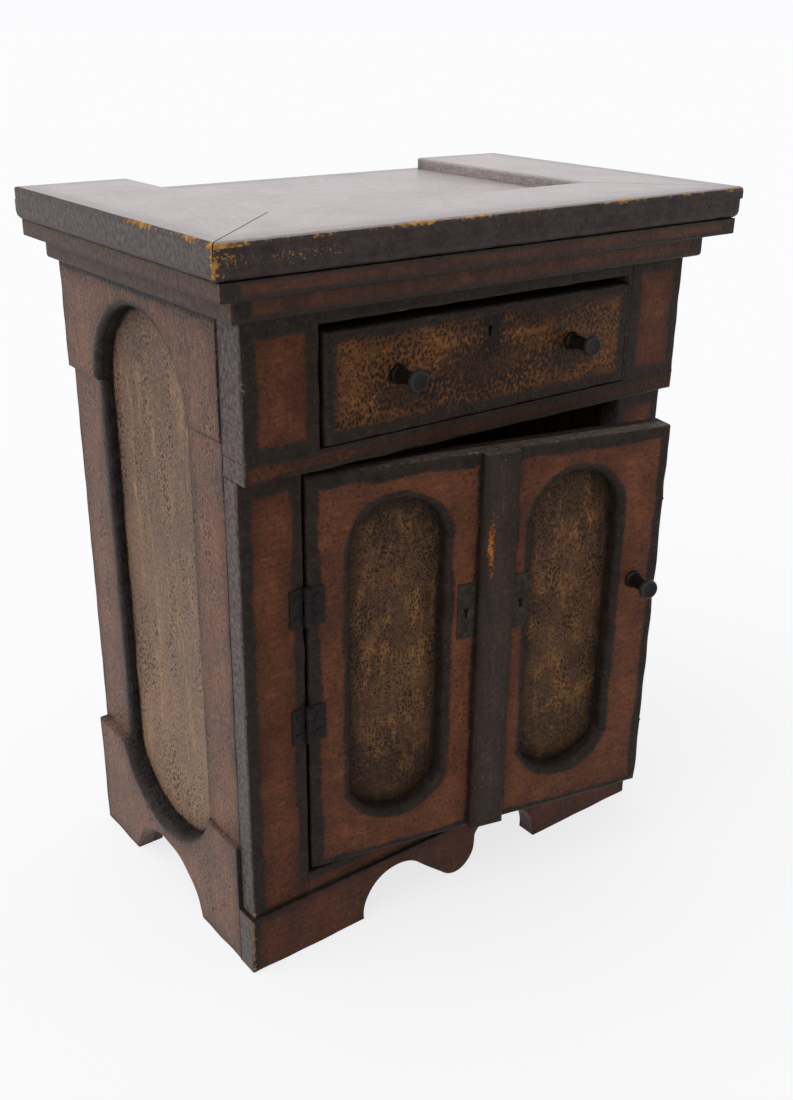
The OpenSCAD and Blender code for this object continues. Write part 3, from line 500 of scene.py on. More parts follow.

    # dark clouds of the dab colour, each a ragged ellipse: round the drawer's middle and knobs, on the drawer
    # rail and the apron's foot, and at the top and foot of the recessed door panels
    for cx, cy, rx, ry, strength in clouds:
        away = inRadii(tree, flat, (cx, cy, 0), (rx, ry, 1))
        away = add(tree, "Math MULTIPLY_ADD", (crust, 2.4, away))
        cloud = add(tree, "MapRange", (away, 2.5, 1.7, 0.0, strength), interpolation_type="SMOOTHSTEP")
        colour = add(tree, "Mix", {0: cloud, 6: colour, 7: linear(look["dab"])}, **rgba)
    colour = add(tree, "VectorMath SCALE", {0: colour, "Scale": nearBorder})

    tone = add(tree, "TexNoise", {"Vector": mm, "Scale": 0.11, "Detail": 6.0, "Roughness": 0.75})
    tone = add(tree, "MapRange", (tone, 0.38, 0.66))
    border = add(tree, "Mix", {0: tone, 6: linear(look["border"]), 7: linear(look["borderPale"])}, **rgba)
    colour = add(tree, "Mix", {0: field, 6: border, 7: colour}, **rgba)

    # brush lines about a millimetre apart, and a crackled crust of specks one to three millimetres wide
    along = add(tree, "Mapping", {"Vector": mm, "Scale": stretched(look["grain"], 0.035, 0.8)})
    lines = add(tree, "TexNoise", {"Vector": along, "Scale": 1.0, "Detail": 5.0, "Roughness": 0.65})
    tint = add(tree, "MapRange", (lines, 0.3, 0.7, 1 - look["grainDepth"], 1 + look["grainDepth"]))
    speckle = add(tree, "MapRange", (crust, 0.38, 0.62, 1 - look["crust"], 1 + look["crust"]))
    tint = add(tree, "Math MULTIPLY", (tint, speckle))
    # faces along the axis take a paler tone: a painted sheen on sideways faces, dust and wear on upward ones
    if dustAndSheen:
        facing = add(tree, "TexCoord", out="Normal")
        facing = add(tree, "SeparateXYZ", (facing,), out=dustAndSheen["axis"])
        facing = add(tree, "Math ABSOLUTE", (facing,))
        facing = add(tree, "MapRange", (facing, 0.6, 0.85, 0.0, dustAndSheen["amount"]))
        above = add(tree, "MapRange", (axis[2], dustAndSheen["from"] - 1, dustAndSheen["from"] + 1))
        facing = add(tree, "Math MULTIPLY", (facing, above))
        ragged = add(tree, "MapRange", (crust, 0.38, 0.58, 0.62, 1.0))
        facing = add(tree, "Math MULTIPLY", (facing, ragged))
        colour = add(tree, "Mix", {0: facing, 6: colour, 7: linear(dustAndSheen["tone"])}, **rgba)
    colour = add(tree, "VectorMath SCALE", {0: colour, "Scale": tint})

    # pinhead specks of pale dirt
    dust = add(tree, "TexVoronoi", {"Vector": mm, "Scale": 0.17})
    dust = add(tree, "MapRange", (dust, 0.1, 0.05, 0.0, look["specks"]))
    colour = add(tree, "Mix", {0: dust, 6: colour, 7: linear(look["speckTone"])}, **rgba)

    # rubbed edges: short chips here and there, more of them and gold flecks where hands and falls hit
    edge = add(tree, "Attribute", out="Fac", attribute_name="edge")
    chip = add(tree, "TexNoise", {"Vector": mm, "Scale": 0.3, "Detail": 7.0, "Roughness": 0.8})
    grit = add(tree, "TexNoise", {"Vector": mm, "Scale": 0.45, "Detail": 4.0, "Roughness": 0.75})
    wear = add(tree, "MapRange", (slow, 0.4, 0.64, look["wear"], look["wear"] + look["wearMore"]))
    rubbed = 0.0
    for x, y, z, rx, ry, rz, amount in rubs:
        away = inRadii(tree, mm, (x, y, z), (rx, ry, rz))
        rub = add(tree, "MapRange", (away, 0.2, 1.0, amount, 0.0), interpolation_type="SMOOTHSTEP")
        rubbed = add(tree, "Math ADD", (rub, rubbed))
    wear = add(tree, "Math ADD", (wear, rubbed))
    worn = add(tree, "Math MULTIPLY_ADD", (edge, wear, chip))
    worn = add(tree, "MapRange", (worn, chips["from"], chips["full"]))
    fleck = add(tree, "Math MULTIPLY_ADD", (rubbed, chips["fleckShare"], grit))
    fleck = add(tree, "MapRange", (fleck, chips["from"], chips["fleckFull"]))
    worn = add(tree, "Math MAXIMUM", (worn, fleck))
    bareTone = add(tree, "Mix", {0: tone, 6: linear(look["bare"]), 7: linear(look["barePale"])}, **rgba)
    bareTone = add(tree, "VectorMath SCALE", {0: bareTone, "Scale": tint})
    # edges paler by edgeTone: a painted highlight along the rounded edges, partly polish from handling
    sheen = add(tree, "Math MULTIPLY", (edge, look["edgeTone"]))
    colour = add(tree, "Mix", {0: sheen, 6: colour, 7: linear(look["borderPale"])}, **rgba)
    colour = add(tree, "Mix", {0: worn, 6: colour, 7: bareTone}, **rgba)

    rough = add(tree, "MapRange", (fine, 0.3, 0.7, look["gloss"] - 0.05, look["gloss"] + 0.12))
    rough = add(tree, "Math MULTIPLY_ADD", (worn, 0.3, rough))
    height = fine
    for part, key in ((lines, "lines"), (crust, "crust"), (dab, "dab"), (worn, "worn")):
        height = add(tree, "Math MULTIPLY_ADD", (part, relief[key], height))
    normal = add(tree, "Bump", {"Strength": look["bump"], "Distance": relief["deep"], "Height": height})
    skin = add(tree, "BsdfPrincipled", {"Base Color": colour, "Roughness": rough, "Normal": normal,
            "Specular IOR Level": look["specular"], "Coat Weight": look["varnish"], "Coat Roughness": 0.3,
            "Coat Normal": normal})
    add(tree, "OutputMaterial", {"Surface": skin})
    return material


paint = {"border": "#1d1815", "borderPale": "#322822", "bare": "#704a28", "barePale": "#9a7040",
    "dab": "#1b1410", "sway": 1.6, "fuzz": 1.8, "blur": 1.2, "glazeAndShade": 0.3, "washScale": (0.05, 0.03),
    "washFrom": 0.5, "washAmount": 0.6, "dabSpacing": 4.2, "dabBend": 2.5, "dabLow": 0.0, "dabHigh": 0.14,
    "dabAmount": 0.45, "rim": 0.0, "rimTone": "#7d5c3a", "grain": "x", "grainDepth": 0.26, "crust": 0.2,
    "specks": 0.25, "speckTone": "#8f7c68", "wear": 0.06, "wearMore": 0.14, "edgeTone": 0.35, "gloss": 0.42,
    "bump": 0.7, "specular": 0.08, "varnish": 0.0}
looks = {
    "front": {**paint, "field": "#613724", "deep": "#48291b", "wash": "#704226", "bare": "#604d3a",
        "barePale": "#82705a"},
    # the side's paint is the front's: its paler, greyer tones are partly a painted sheen of the light from
    # the left
    "side": {**paint, "field": "#704e3f", "deep": "#59453b", "wash": "#84624c", "washAmount": 0.5,
        "washScale": (0.06, 0.02), "dabLow": -0.12, "dabHigh": 0.26, "dabAmount": 0.62, "rim": 0.5,
        "rimTone": "#94725e", "border": "#1d1817", "borderPale": "#37302e", "specular": 0.12, "gloss": 0.38,
        "grain": "z", "grainDepth": 0.22, "crust": 0.22, "bump": 1.0},
    "sidePanel": {**paint, "field": "#6e5449", "deep": "#574741", "wash": "#917155", "washAmount": 0.85,
        "washScale": (0.07, 0.012), "dabSpacing": 3.3, "dabLow": -0.02, "dabHigh": 0.3, "dabAmount": 0.68,
        "rim": 0.6, "rimTone": "#a08467", "border": "#1d1817", "specular": 0.12, "gloss": 0.38,
        "grain": "z", "grainDepth": 0.2, "bump": 1.0},
    "door": {**paint, "field": "#653b28", "deep": "#4c2d20", "wash": "#78492c", "glazeAndShade": 0.12,
        "bare": "#5f554b", "barePale": "#857a6e"},
    # its ground darkens strongly beside the recess walls: partly dark paint, partly painted shade
    "doorPanel": {**paint, "field": "#5d412d", "deep": "#432f25", "wash": "#835d34", "washAmount": 0.85,
        "washScale": (0.07, 0.03), "dabSpacing": 2.2, "dabLow": 0.12, "dabHigh": 0.34, "dabAmount": 0.72,
        "dabBend": 3.2, "rim": 0.3, "glazeAndShade": 0.5, "grain": "z", "crust": 0.24},
    "astragal": {**paint, "field": "#3d302a", "deep": "#312824", "wash": "#4d392d", "dabAmount": 0.2,
        "specks": 0.5, "bare": "#8a4c1e", "barePale": "#a8682b", "grain": "z"},
    "drawer": {**paint, "field": "#6c4224", "deep": "#4b311f", "wash": "#835526", "washAmount": 0.75,
        "washScale": (0.03, 0.06), "dabSpacing": 2.5, "dabLow": 0.14, "dabHigh": 0.4, "dabAmount": 0.84,
        "dabBend": 3.2, "fuzz": 3.6, "blur": 1.8, "crust": 0.32},
    "cornice": {**paint, "field": "#5a3422", "deep": "#402519", "wash": "#6b4228", "washAmount": 0.4,
        "dabAmount": 0.4, "blur": 1.0, "sway": 0.6, "fuzz": 1.0, "specular": 0.14, "wearMore": 0.1,
        "crust": 0.24},
    # the top's upward faces: the dark edge paint made pale, a painted sheen over a real varnish coat
    "top": {**paint, "field": "#938485", "deep": "#7b6d6c", "wash": "#907d77", "washAmount": 0.5,
        "washScale": (0.02, 0.05), "dabAmount": 0.0, "gloss": 0.34, "specular": 0.5, "varnish": 0.7,
        "border": "#5a4f4d", "borderPale": "#70625f", "grainDepth": 0.3, "specks": 0.5,
        "speckTone": "#4a3c37", "bare": "#8d6236", "barePale": "#b58a52"},
    "topEdge": {**paint, "border": "#2a2220", "borderPale": "#3c3230", "field": "#5a4b45",
        "deep": "#463a36", "wash": "#63524a", "dabAmount": 0.0, "specular": 0.12, "bump": 0.5,
        "wearMore": 0.2, "bare": "#7c5428", "barePale": "#b08446"},
    # its paler head rim is a painted highlight, partly worn polish
    "knob": {**paint, "borderPale": "#453f3c", "edgeTone": 0.38, "field": "#151110", "deep": "#100d0c",
        "wash": "#221d1a", "dabAmount": 0.0, "gloss": 0.3, "specular": 0.12, "specks": 0.0, "wear": 0.0,
        "wearMore": 0.1, "bump": 0.25, "grainDepth": 0.05, "crust": 0.12},
}

case = {"halfW": 180.0, "depth": 225.0, "frameT": 15.0, "proud": 10.0, "panelOut": 170.0, "panelIn": 162.0,
    "sideOut": 181.0, "footOut": 183.0, "doorHalf": 135.0, "drawerHalf": 128.0, "apronH": 45.0,
    "floorZ": 62.0, "railZ": 357.0, "drawerZ": 370.5, "topRailZ": 444.0, "caseTop": 479.0}
side = {"topT": 11.0, "footT": 13.0, "frontT": 10.0, "backT": 7.0, "topZ": 377.0, "footZ": 94.0, "y0": 57.0,
    "y1": 178.0, "archRise": 60.0, "hollowDrop": 42.0, "frontFoot": 70.0, "backFoot": 53.0,
    "footArch": 38.0}
door = {"w": 267.0, "z0": 64.3, "z1": 351.0, "backT": 7.0, "frameT": 11.0, "hingeW": 30.0, "lockW": 37.0,
    "midW": 65.0, "topH": 53.5, "archRise": 30.0, "bottomH": 54.5, "hollowDrop": 23.0, "astragalW": 27.0,
    "astragalT": 6.0, "knobU": 246.0, "knobZ": 239.65, "plateU": 20.8, "plateZ": 240.65}
doorX = overall["doorX"]
recessW = (door["w"] - door["hingeW"] - door["lockW"] - door["midW"]) / 2
leftMid, rightMid = door["hingeW"] + recessW / 2, door["w"] - door["lockW"] - recessW / 2
springZ, hollowZ = door["z1"] - door["topH"], door["z0"] + door["bottomH"]
sideRecess = recessOf((side["y0"] + side["y1"]) / 2, side["y1"] - side["y0"], side["footZ"],
    side["hollowDrop"], side["topZ"], side["archRise"])
doorRecesses = [recessOf(doorX + mid, recessW, hollowZ, door["hollowDrop"], springZ, door["archRise"])
    for mid in (leftMid, rightMid)]

# the frame's sideways end faces are painted paler grey: a painted sheen of the light from the left
frontPaint = paintedPine("brush_painted_pine_front", looks["front"],
    [(-170, -138, 379, 441), (138, 171, 378, 446), (-177, 177, 360.0, 367.5), (-171, -143.5, 49, 346),
        (143.5, 172, 49, 346), (-168, 168, 48, 55), (-178, 179, -8, 43)],
    rubs=[(-182, -2, 25, 9, 9, 60, 0.3), (-180, -8, 420, 7, 8, 70, 0.08), (-180, 0, 240, 5, 6, 110, 0.08),
        (180, -10, 362, 14, 8, 12, 0.24)], clouds=[(20, 364, 190, 13, 0.6), (0, 12, 380, 60, 0.3)],
    dustAndSheen={"axis": 0, "tone": "#5f5553", "amount": 0.9, "from": 0})
sidePaint = paintedPine("brush_painted_pine_side", looks["side"], [(15.5, 222, 3, 447)],
    [({**sideRecess, "mid": sideRecess["mid"] + 1.5}, 4.0)], axes=(1, 2))
sidePanelPaint = paintedPine("stippled_pine_side_panel", looks["sidePanel"], (), [(sideRecess, 2.5)],
    axes=(1, 2), inside=True, paleFoot={"none": 400, "full": 60, "tone": "#9b7f67", "amount": 0.5})
doorFields = [(doorX + 8.5, doorX + 118, 70, 342), (doorX + 149, doorX + 259, 70, 342)]
doorBands = [(recess, 5.5) for recess in doorRecesses]
doorPaint = paintedPine("brush_painted_pine_door", looks["door"], doorFields, doorBands, onDoor=True,
    rubs=[(doorX + 133, 9, 354, 170, 18, 6, 0.36), (doorX + 267, 5, 300, 4, 20, 70, 0.2)],
    dustAndSheen={"axis": 2, "tone": "#675d55", "amount": 0.75, "from": 350})
panelClouds = [(r["mid"], z, 60, 34, 0.42) for r in doorRecesses
    for z in (r["highSpring"] + 22, r["lowSpring"] - 8)]
doorPanelPaint = paintedPine("stippled_pine_door_panel", looks["doorPanel"], (),
    [(recess, 2.0) for recess in doorRecesses], onDoor=True, inside=True, clouds=panelClouds)
doorMidPaint = paintedPine("comma_stroked_pine_door", {**looks["door"], "dabSpacing": 4.8, "dabLow": -0.1,
        "dabHigh": 0.2, "rim": 0.5, "rimTone": "#7c4226"}, doorFields, doorBands, onDoor=True)
astragalPaint = paintedPine("brush_painted_pine_astragal", looks["astragal"],
    [(doorX + 122, doorX + 145, 66, 350)], onDoor=True,
    rubs=[(doorX + 126.5, -6, 288, 5, 8, 38, 0.56), (doorX + 131, -6, 245, 9, 8, 60, 0.2)],
    dustAndSheen={"axis": 2, "tone": "#6a625c", "amount": 0.8, "from": 350})
drawerPaint = paintedPine("stippled_pine_drawer", looks["drawer"], [(-117, 119, 379.5, 432.5)],
    clouds=[(3, 424, 10, 18, 0.95), (0, 402, 50, 18, 0.75), (-66, 395, 26, 12, 0.7), (74, 398, 30, 12, 0.7),
        (40, 428, 60, 7, 0.5)])
# the cornice's sideways faces are painted paler: a painted sheen
cornicePaint = paintedPine("brush_painted_pine_cornice", looks["cornice"],
    [(-176, 176, 456.0, 465.0), (-190, 190, 471.5, 477.0), (-260, -187.5, 455.0, 466.0),
        (-260, -202, 470.5, 477.5), (187.5, 260, 455.0, 466.0), (202, 260, 470.5, 477.5)],
    dustAndSheen={"axis": 0, "tone": "#4f4039", "amount": 0.85, "from": 0})
topRubs = [(-205, -33, 492, 28, 18, 15, 0.34), (-207, -33, 488, 5, 5, 17, 0.3),
    (-150, -34, 494, 60, 8, 12, 0.12), (-150, -34, 489, 70, 7, 9, 0.24), (-207, 30, 499, 6, 90, 5, 0.16),
    (207, -33, 498, 30, 30, 9, 0.16), (-40, -33, 500, 90, 7, 5, 0.18), (110, -33, 500, 80, 7, 5, 0.12)]
# faces that look up take this paler paint: a painted sheen over the varnish
topAcross, topAlong = (paintedPine("varnished_painted_pine_top_" + way, {**looks["top"], "grain": way},
        [(-196, 196, -22, 217)], axes=(0, 1), rubs=topRubs) for way in ("x", "y"))
# the edge's sideways faces are painted paler: a painted sheen
topEdge = paintedPine("brush_painted_pine_top_edge", looks["topEdge"], [(-196, 196, -22, 300)], axes=(0, 1),
    rubs=topRubs, dustAndSheen={"axis": 0, "tone": "#564e4d", "amount": 0.9, "from": 0})
knobPaint = paintedPine("turned_painted_maple", looks["knob"], [(-900, 900, -900, 900)])


# bare sawn pine that has browned, matt: early and late wood as noise drawn out along the grain, with rings
# about 5 mm apart, and dirt in the pores
def agedPine(name, pale, dark, grain):
    material, tree = newMaterial(name)
    mm = millimetres(tree)
    along = add(tree, "Mapping", {"Vector": mm, "Scale": stretched(grain, 0.004, 0.2)})
    rings = add(tree, "TexNoise", {"Vector": along, "Scale": 1.0, "Detail": 4.0, "Distortion": 0.3})
    stain = add(tree, "TexNoise", {"Vector": mm, "Scale": 0.012, "Detail": 5.0, "Roughness": 0.6})
    stain = add(tree, "MapRange", (stain, 0.35, 0.65, 0.78, 1.06))
    pores = add(tree, "TexNoise", {"Vector": along, "Scale": 7.0, "Detail": 4.0, "Roughness": 0.7})
    tone = add(tree, "MapRange", (rings, 0.35, 0.65))
    colour = add(tree, "Mix", {0: tone, 6: linear(dark), 7: linear(pale)}, **rgba)
    tint = add(tree, "MapRange", (pores, 0.3, 0.7, 0.82, 1.08))
    tint = add(tree, "Math MULTIPLY", (tint, stain))
    colour = add(tree, "VectorMath SCALE", {0: colour, "Scale": tint})
    normal = add(tree, "Bump", {"Strength": 0.4, "Distance": 0.0003, "Height": pores})
    skin = add(tree, "BsdfPrincipled", {"Base Color": colour, "Roughness": 0.72, "Normal": normal})
    add(tree, "OutputMaterial", {"Surface": skin})
    return material


pineAcross = agedPine("aged_sawn_pine_across", "#8f6f4a", "#6f5236", "x")
pineUp = agedPine("aged_sawn_pine_upright", "#8a6b48", "#6a4e34", "z")
pineBack = agedPine("aged_sawn_pine_deep", "#8f6f4a", "#6b4f35", "y")
pineBare = agedPine("aged_sawn_pine_bare_backs", "#7d5f40", "#5d432d", "z")


# metal gone dull: two tones of tarnish in small clouds over a slightly pitted face; grime and old paint lie
# on it, so hardly any metal gleams
def oldMetal(name, pale, dark, rough, metallic=1.0):
    material, tree = newMaterial(name)
    mm = millimetres(tree)
    tarnish = add(tree, "TexNoise", {"Vector": mm, "Scale": 0.22, "Detail": 6.0, "Roughness": 0.7})
    tone = add(tree, "MapRange", (tarnish, 0.42, 0.66))
    colour = add(tree, "Mix", {0: tone, 6: linear(dark), 7: linear(pale)}, **rgba)
    roughness = add(tree, "MapRange", (tarnish, 0.3, 0.7, rough + 0.12, rough - 0.06))
    normal = add(tree, "Bump", {"Strength": 0.5, "Distance": 0.0003, "Height": tarnish})
    skin = add(tree, "BsdfPrincipled", {"Base Color": colour, "Roughness": roughness, "Metallic": metallic,
            "Normal": normal, "Specular IOR Level": 0.15})
    add(tree, "OutputMaterial", {"Surface": skin})
    return material


hingeIron = oldMetal("wrought_iron_blackened", "#211d1a", "#141110", 0.55, 0.05)
plateBrass = oldMetal("sheet_brass_darkened", "#3a3120", "#1e1a14", 0.5, 0.1)
print("materials made")


# board that faces the front between y0 (front) and y1 (back)
def frontBoard(name, outline, y0, y1, material, body="case", place=casePlace, **more):
    shape = turnTo(slab(outline, -y1, -y0, **more), (0, 2, 1), (1, -1, 1))
    return makePiece(name + "_painted", shape, body, [name], material, place, pineBare, (0, 1, 0))


def rect(x0, x1, z0, z1):
    return [(x0, z0), (x1, z0), (x1, z1), (x0, z1)]


c = case
stile, rail = c["halfW"], c["drawerHalf"]
for seed, (name, box, y0, tight) in enumerate([
        ("upper_stile_left", (-stile, -rail, c["drawerZ"], c["caseTop"]), -c["proud"], [(1, c["drawerZ"])]),
        ("upper_stile_right", (rail, stile, c["drawerZ"], c["caseTop"]), -c["proud"], [(1, c["drawerZ"])]),
        ("top_rail", (-rail, rail, c["topRailZ"], c["caseTop"]), -c["proud"], [(0, -rail), (0, rail)]),
        ("drawer_rail", (-stile, stile, c["railZ"], c["drawerZ"]), -c["proud"], [(1, c["drawerZ"])]),
        ("lower_stile_left", (-stile, -c["doorHalf"], c["apronH"], c["railZ"]), 0.0,
            [(1, c["apronH"]), (1, c["railZ"])]),
        ("lower_stile_right", (c["doorHalf"], stile, c["apronH"], c["railZ"]), 0.0,
            [(1, c["apronH"]), (1, c["railZ"])]),
        ("bottom_rail", (-c["doorHalf"], c["doorHalf"], c["apronH"], c["floorZ"]), 0.0,
            [(1, c["apronH"]), (0, -c["doorHalf"]), (0, c["doorHalf"])])]):
    frontBoard(name, rect(*box), y0, c["frameT"], frontPaint, tight=tight, seed=seed + 3, sway=0.25)

apron = {"footL": 94.0, "footR": 105.0, "archH": 35.0, "leftR": 30.0, "rightR": 31.0, "dropR": 18.0,
    "dropLift": 2.0, "dropX": -3.0, "cornerR": 8.0, "proud": 2.0}


# left arch's arc, straight slope to the drop, the drop's arc, a rounded corner, and the right arch's arc
def apronOutline(s):
    half = case["footOut"]
    left = (-half + s["footL"] + math.sqrt(s["leftR"] ** 2 - (s["archH"] - s["leftR"]) ** 2),
        s["archH"] - s["leftR"])
    right = (half - s["footR"] - math.sqrt(s["rightR"] ** 2 - (s["archH"] - s["rightR"]) ** 2),
        s["archH"] - s["rightR"])
    drop = (s["dropX"], s["dropLift"] + s["dropR"])
    way = (drop[0] - left[0], drop[1] - left[1])
    lean = math.degrees(math.atan2(way[1], way[0]) + math.acos((s["leftR"] + s["dropR"]) / math.hypot(*way)))
    first = 180 + math.degrees(math.asin(left[1] / s["leftR"]))
    last = -math.degrees(math.asin(right[1] / s["rightR"]))
    corner = (drop[0] + s["dropR"] + s["cornerR"], s["archH"] - s["cornerR"])
    return np.vstack([[(-half, 0)], arcPoints(left, s["leftR"], first, lean),
            arcPoints(drop, s["dropR"], 180 + lean, 360), arcPoints(corner, s["cornerR"], 180, 90, 12),
            arcPoints(right, s["rightR"], 90, last), [(half, 0), (half, case["apronH"]),
            (-half, case["apronH"])]])


frontBoard("front_apron", apronOutline(apron), -apron["proud"], c["frameT"], frontPaint,
    tight=[(1, c["apronH"])], seed=11)
print("front boards made")


# board that faces sideways, t0 to t1 out from the inner board's face
def sideBoard(name, outline, t0, t1, right, material, **more):
    way = 1 if right else -1
    shape = turnTo(slab(outline, t0, t1, **more), (2, 0, 1), (way, 1, 1), (way * case["panelOut"], 0, 0))
    node = name + ("_right" if right else "_left")
    return makePiece(node + "_painted", shape, "case", [node], material, casePlace, pineBare, (-way, 0, 0))


def footEdge(s, y0):
    chord = case["depth"] - s["frontFoot"] - s["backFoot"]
    return cutEdge((y0, 0), (case["depth"], 0), s["frontFoot"] + chord / 2 - y0, chord, s["footArch"])


s, y0, y1, depth, front = side, side["y0"], side["y1"], case["depth"], case["frameT"]
mid, chord = (y0 + y1) / 2, y1 - y0
archEdge = cutEdge((front, s["topZ"]), (depth, s["topZ"]), mid - front, chord, s["archRise"])
hollowEdge = cutEdge((depth, s["footZ"]), (front, s["footZ"]), depth - mid, chord, s["hollowDrop"])
seams = [(0, front), (1, s["footZ"]), (1, s["topZ"])]
for right in (False, True):
    sideBoard("side_top_board", np.vstack([archEdge, [(depth, c["caseTop"]), (front, c["caseTop"])]]), 0,
        s["topT"], right, sidePaint, tight=[(0, front), (1, c["caseTop"])], seed=21 + right,
        recess=sideRecess, rollR=3.5)
    sideBoard("side_foot_board", np.vstack([footEdge(s, front), hollowEdge]), 0, s["footT"], right,
        sidePaint, tight=[(0, front)], seed=23 + right, recess=sideRecess, rollR=5.5)
    sideBoard("side_front_stile", rect(front, y0, s["footZ"], s["topZ"]), 0, s["frontT"], right, sidePaint,
        tight=seams, seed=25 + right, recess=sideRecess, rollR=3.0)
    sideBoard("side_back_stile", rect(y1, depth, s["footZ"], s["topZ"]), 0, s["backT"], right, sidePaint,
        tight=seams, seed=27 + right, recess=sideRecess, rollR=3.0)
    sideBoard("side_panel", np.vstack([footEdge(s, front), [(depth, c["caseTop"]), (front, c["caseTop"])]]),
        case["panelIn"] - case["panelOut"], 0, right, sidePanelPaint, soft=0.8, seed=29 + right)
print("side boards made")


cornice = {"lowH": 16.0, "lowProud": 7.5, "lowR": 5.0, "upH": 10.5, "upProud": 22.0, "upR": 1.0, "sway": 0.4}
top = {"half": 207.0, "frontY": -33.5, "backY": 227.0, "t": 13.0, "edgeR": 5.0, "borderT": 8.0,
    "sideW": 81.0, "frontW": 76.0, "borderR": 5.5, "innerR": 7.0, "endR": 5.5, "crack": 0.5, "sway": 0.5,
    "edgeBand": 8.0}


# strip along the front (out is -y) or along a side (out is away from the middle)
def bar(name, profile, start, end, base, way, material, other=None, lit=(0, 0, 1), **more):
    shape = mitredBar(*profile, start, end, **more)
    if way == "front":
        shape = turnTo(shape, (0, 1, 2), (1, -1, 1), (0, base, 0))
    else:
        sign = 1 if way == "right" else -1
        shape = turnTo(shape, (1, 0, 2), (sign, 1, 1), (sign * base, 0, 0))
    return makePiece(name + "_painted", shape, "case", [name], material, other=other, way=lit)


z = c["caseTop"] - cornice["upH"] - cornice["lowH"]
for label, proud, high, r in (("low", cornice["lowProud"], cornice["lowH"], cornice["lowR"]),
        ("up", cornice["upProud"], cornice["upH"], cornice["upR"])):
    profile = softProfile([(0, z), (proud, z), (proud, z + high), (0, z + high)], [0.1, r, 0.5, 0.1], 2.0,
        [0, 0.8, 0.3, 0])
    bar("cornice_" + label + "_front", profile, (-c["sideOut"], -1), (c["sideOut"], 1), -c["proud"],
        "front", cornicePaint, seed=41, sway=cornice["sway"])
    for way in ("left", "right"):
        bar("cornice_" + label + "_" + way, profile, (-c["proud"], -1), (c["depth"], 0), c["sideOut"], way,
            cornicePaint, seed=43, sway=cornice["sway"])
    z += high

# the top board shows its lower edge all round, and its face only between the borders
low, high = c["caseTop"], c["caseTop"] + top["t"]
outline = rect(-top["half"], top["half"], top["frontY"], top["backY"])
shape = turnTo(slab(outline, -high, -low, soft=top["edgeR"], backSoft=0.03, corner=5.0, seed=51,
        rough=0.08), (0, 1, 2), (1, 1, -1))
covered = shape[0][:, 2] > low + top["edgeBand"]  # its upper edges lie under the borders
shape = (shape[0], shape[1], shape[2] * np.where(covered, 0.1, 0.8))
# its upward face takes the paler top paint, a painted sheen
makePiece("top_board_painted", shape, "case", ["top_board"], topEdge, other=topAcross)
low, high = high, high + top["borderT"]
uneven = {"sway": top["sway"], "crack": top["crack"]}
for name, wide, other, way in (("top_border_front", top["frontW"], top["sideW"], "front"),
        ("top_border_left", top["sideW"], top["frontW"], "left"),
        ("top_border_right", top["sideW"], top["frontW"], "right")):
    profile = softProfile([(-wide, low), (0, low), (0, high), (-wide, high)],
        [0.1, 0.02, top["borderR"], top["innerR"]], 4.0, [0, 0.0, 1.0, 0.5])
    if way == "front":
        bar(name, profile, (-top["half"], -other / wide), (top["half"], other / wide), top["frontY"], way,
            topEdge, other=topAcross, seed=53, **uneven)
    else:
        lit = (-0.6 if way == "right" else 0.6, 0, 0.8)  # up and towards the middle
        bar(name, profile, (top["frontY"], -other / wide), (top["backY"], 0), top["half"], way, topEdge,
            other=topAlong, lit=lit, seed=55, endR=top["endR"], **uneven)
print("cornice and top made")


d = door


def doorBoard(name, outline, y0, y1, material, soft=2.4, **more):
    outline = np.asarray(outline, float) + [doorX, 0]
    return frontBoard(name, outline, y0, y1, material, body="door", place=doorPlace, soft=soft, **more)


keyShape = {"r": 1.7, "slot": 1.8, "tall": 5.0, "deep": 5.0}


# round hole with a slot below it, and its depth
def keyhole(x, z):
    around = arcPoints((x, z), keyShape["r"], -58, 238, 16)
    half, foot = keyShape["slot"] / 2, z - keyShape["tall"]
    return np.vstack([around, [(x - half, foot), (x + half, foot)]]), keyShape["deep"]


doorBoard("door_back_panel", rect(0, d["w"], d["z0"], d["z1"]), d["frameT"], d["frameT"] + d["backT"],
    doorPanelPaint, soft=0.8, seed=61)
joint = doorX + d["w"] / 2
for name, u0, u1, mid, recess in (("left", 0, d["w"] / 2, leftMid, doorRecesses[0]),
        ("right", d["w"] / 2, d["w"], rightMid, doorRecesses[1])):
    arch = cutEdge((u0, springZ), (u1, springZ), mid - u0, recessW, d["archRise"])
    doorBoard("door_top_board_" + name, np.vstack([arch, [(u1, d["z1"]), (u0, d["z1"])]]), 0, d["frameT"],
        doorPaint, tight=[(0, joint), (1, springZ)], seed=63, recess=recess)
    hollow = cutEdge((u1, hollowZ), (u0, hollowZ), u1 - mid, recessW, d["hollowDrop"])
    doorBoard("door_bottom_board_" + name, np.vstack([[(u0, d["z0"]), (u1, d["z0"])], hollow]), 0,
        d["frameT"], doorPaint, tight=[(0, joint), (1, hollowZ)], seed=65, recess=recess, rollR=5.0)
for name, u0, u1, plate, recess in (("door_hinge_stile", 0, d["hingeW"], 0, doorRecesses[0]),
        ("door_mid_stile_left", leftMid + recessW / 2, d["w"] / 2, -1, doorRecesses[0]),
        ("door_mid_stile_right", d["w"] / 2, rightMid - recessW / 2, 1, doorRecesses[1]),
        ("door_lock_stile", d["w"] - d["lockW"], d["w"], 0, doorRecesses[1])):
    pockets = [keyhole(joint + plate * d["plateU"], d["plateZ"])] if plate else ()
    doorBoard(name, rect(u0, u1, hollowZ, springZ), 0, d["frameT"], doorMidPaint if plate else doorPaint,
        tight=[(1, hollowZ), (1, springZ), (0, joint)], seed=67, recess=recess, pockets=pockets)
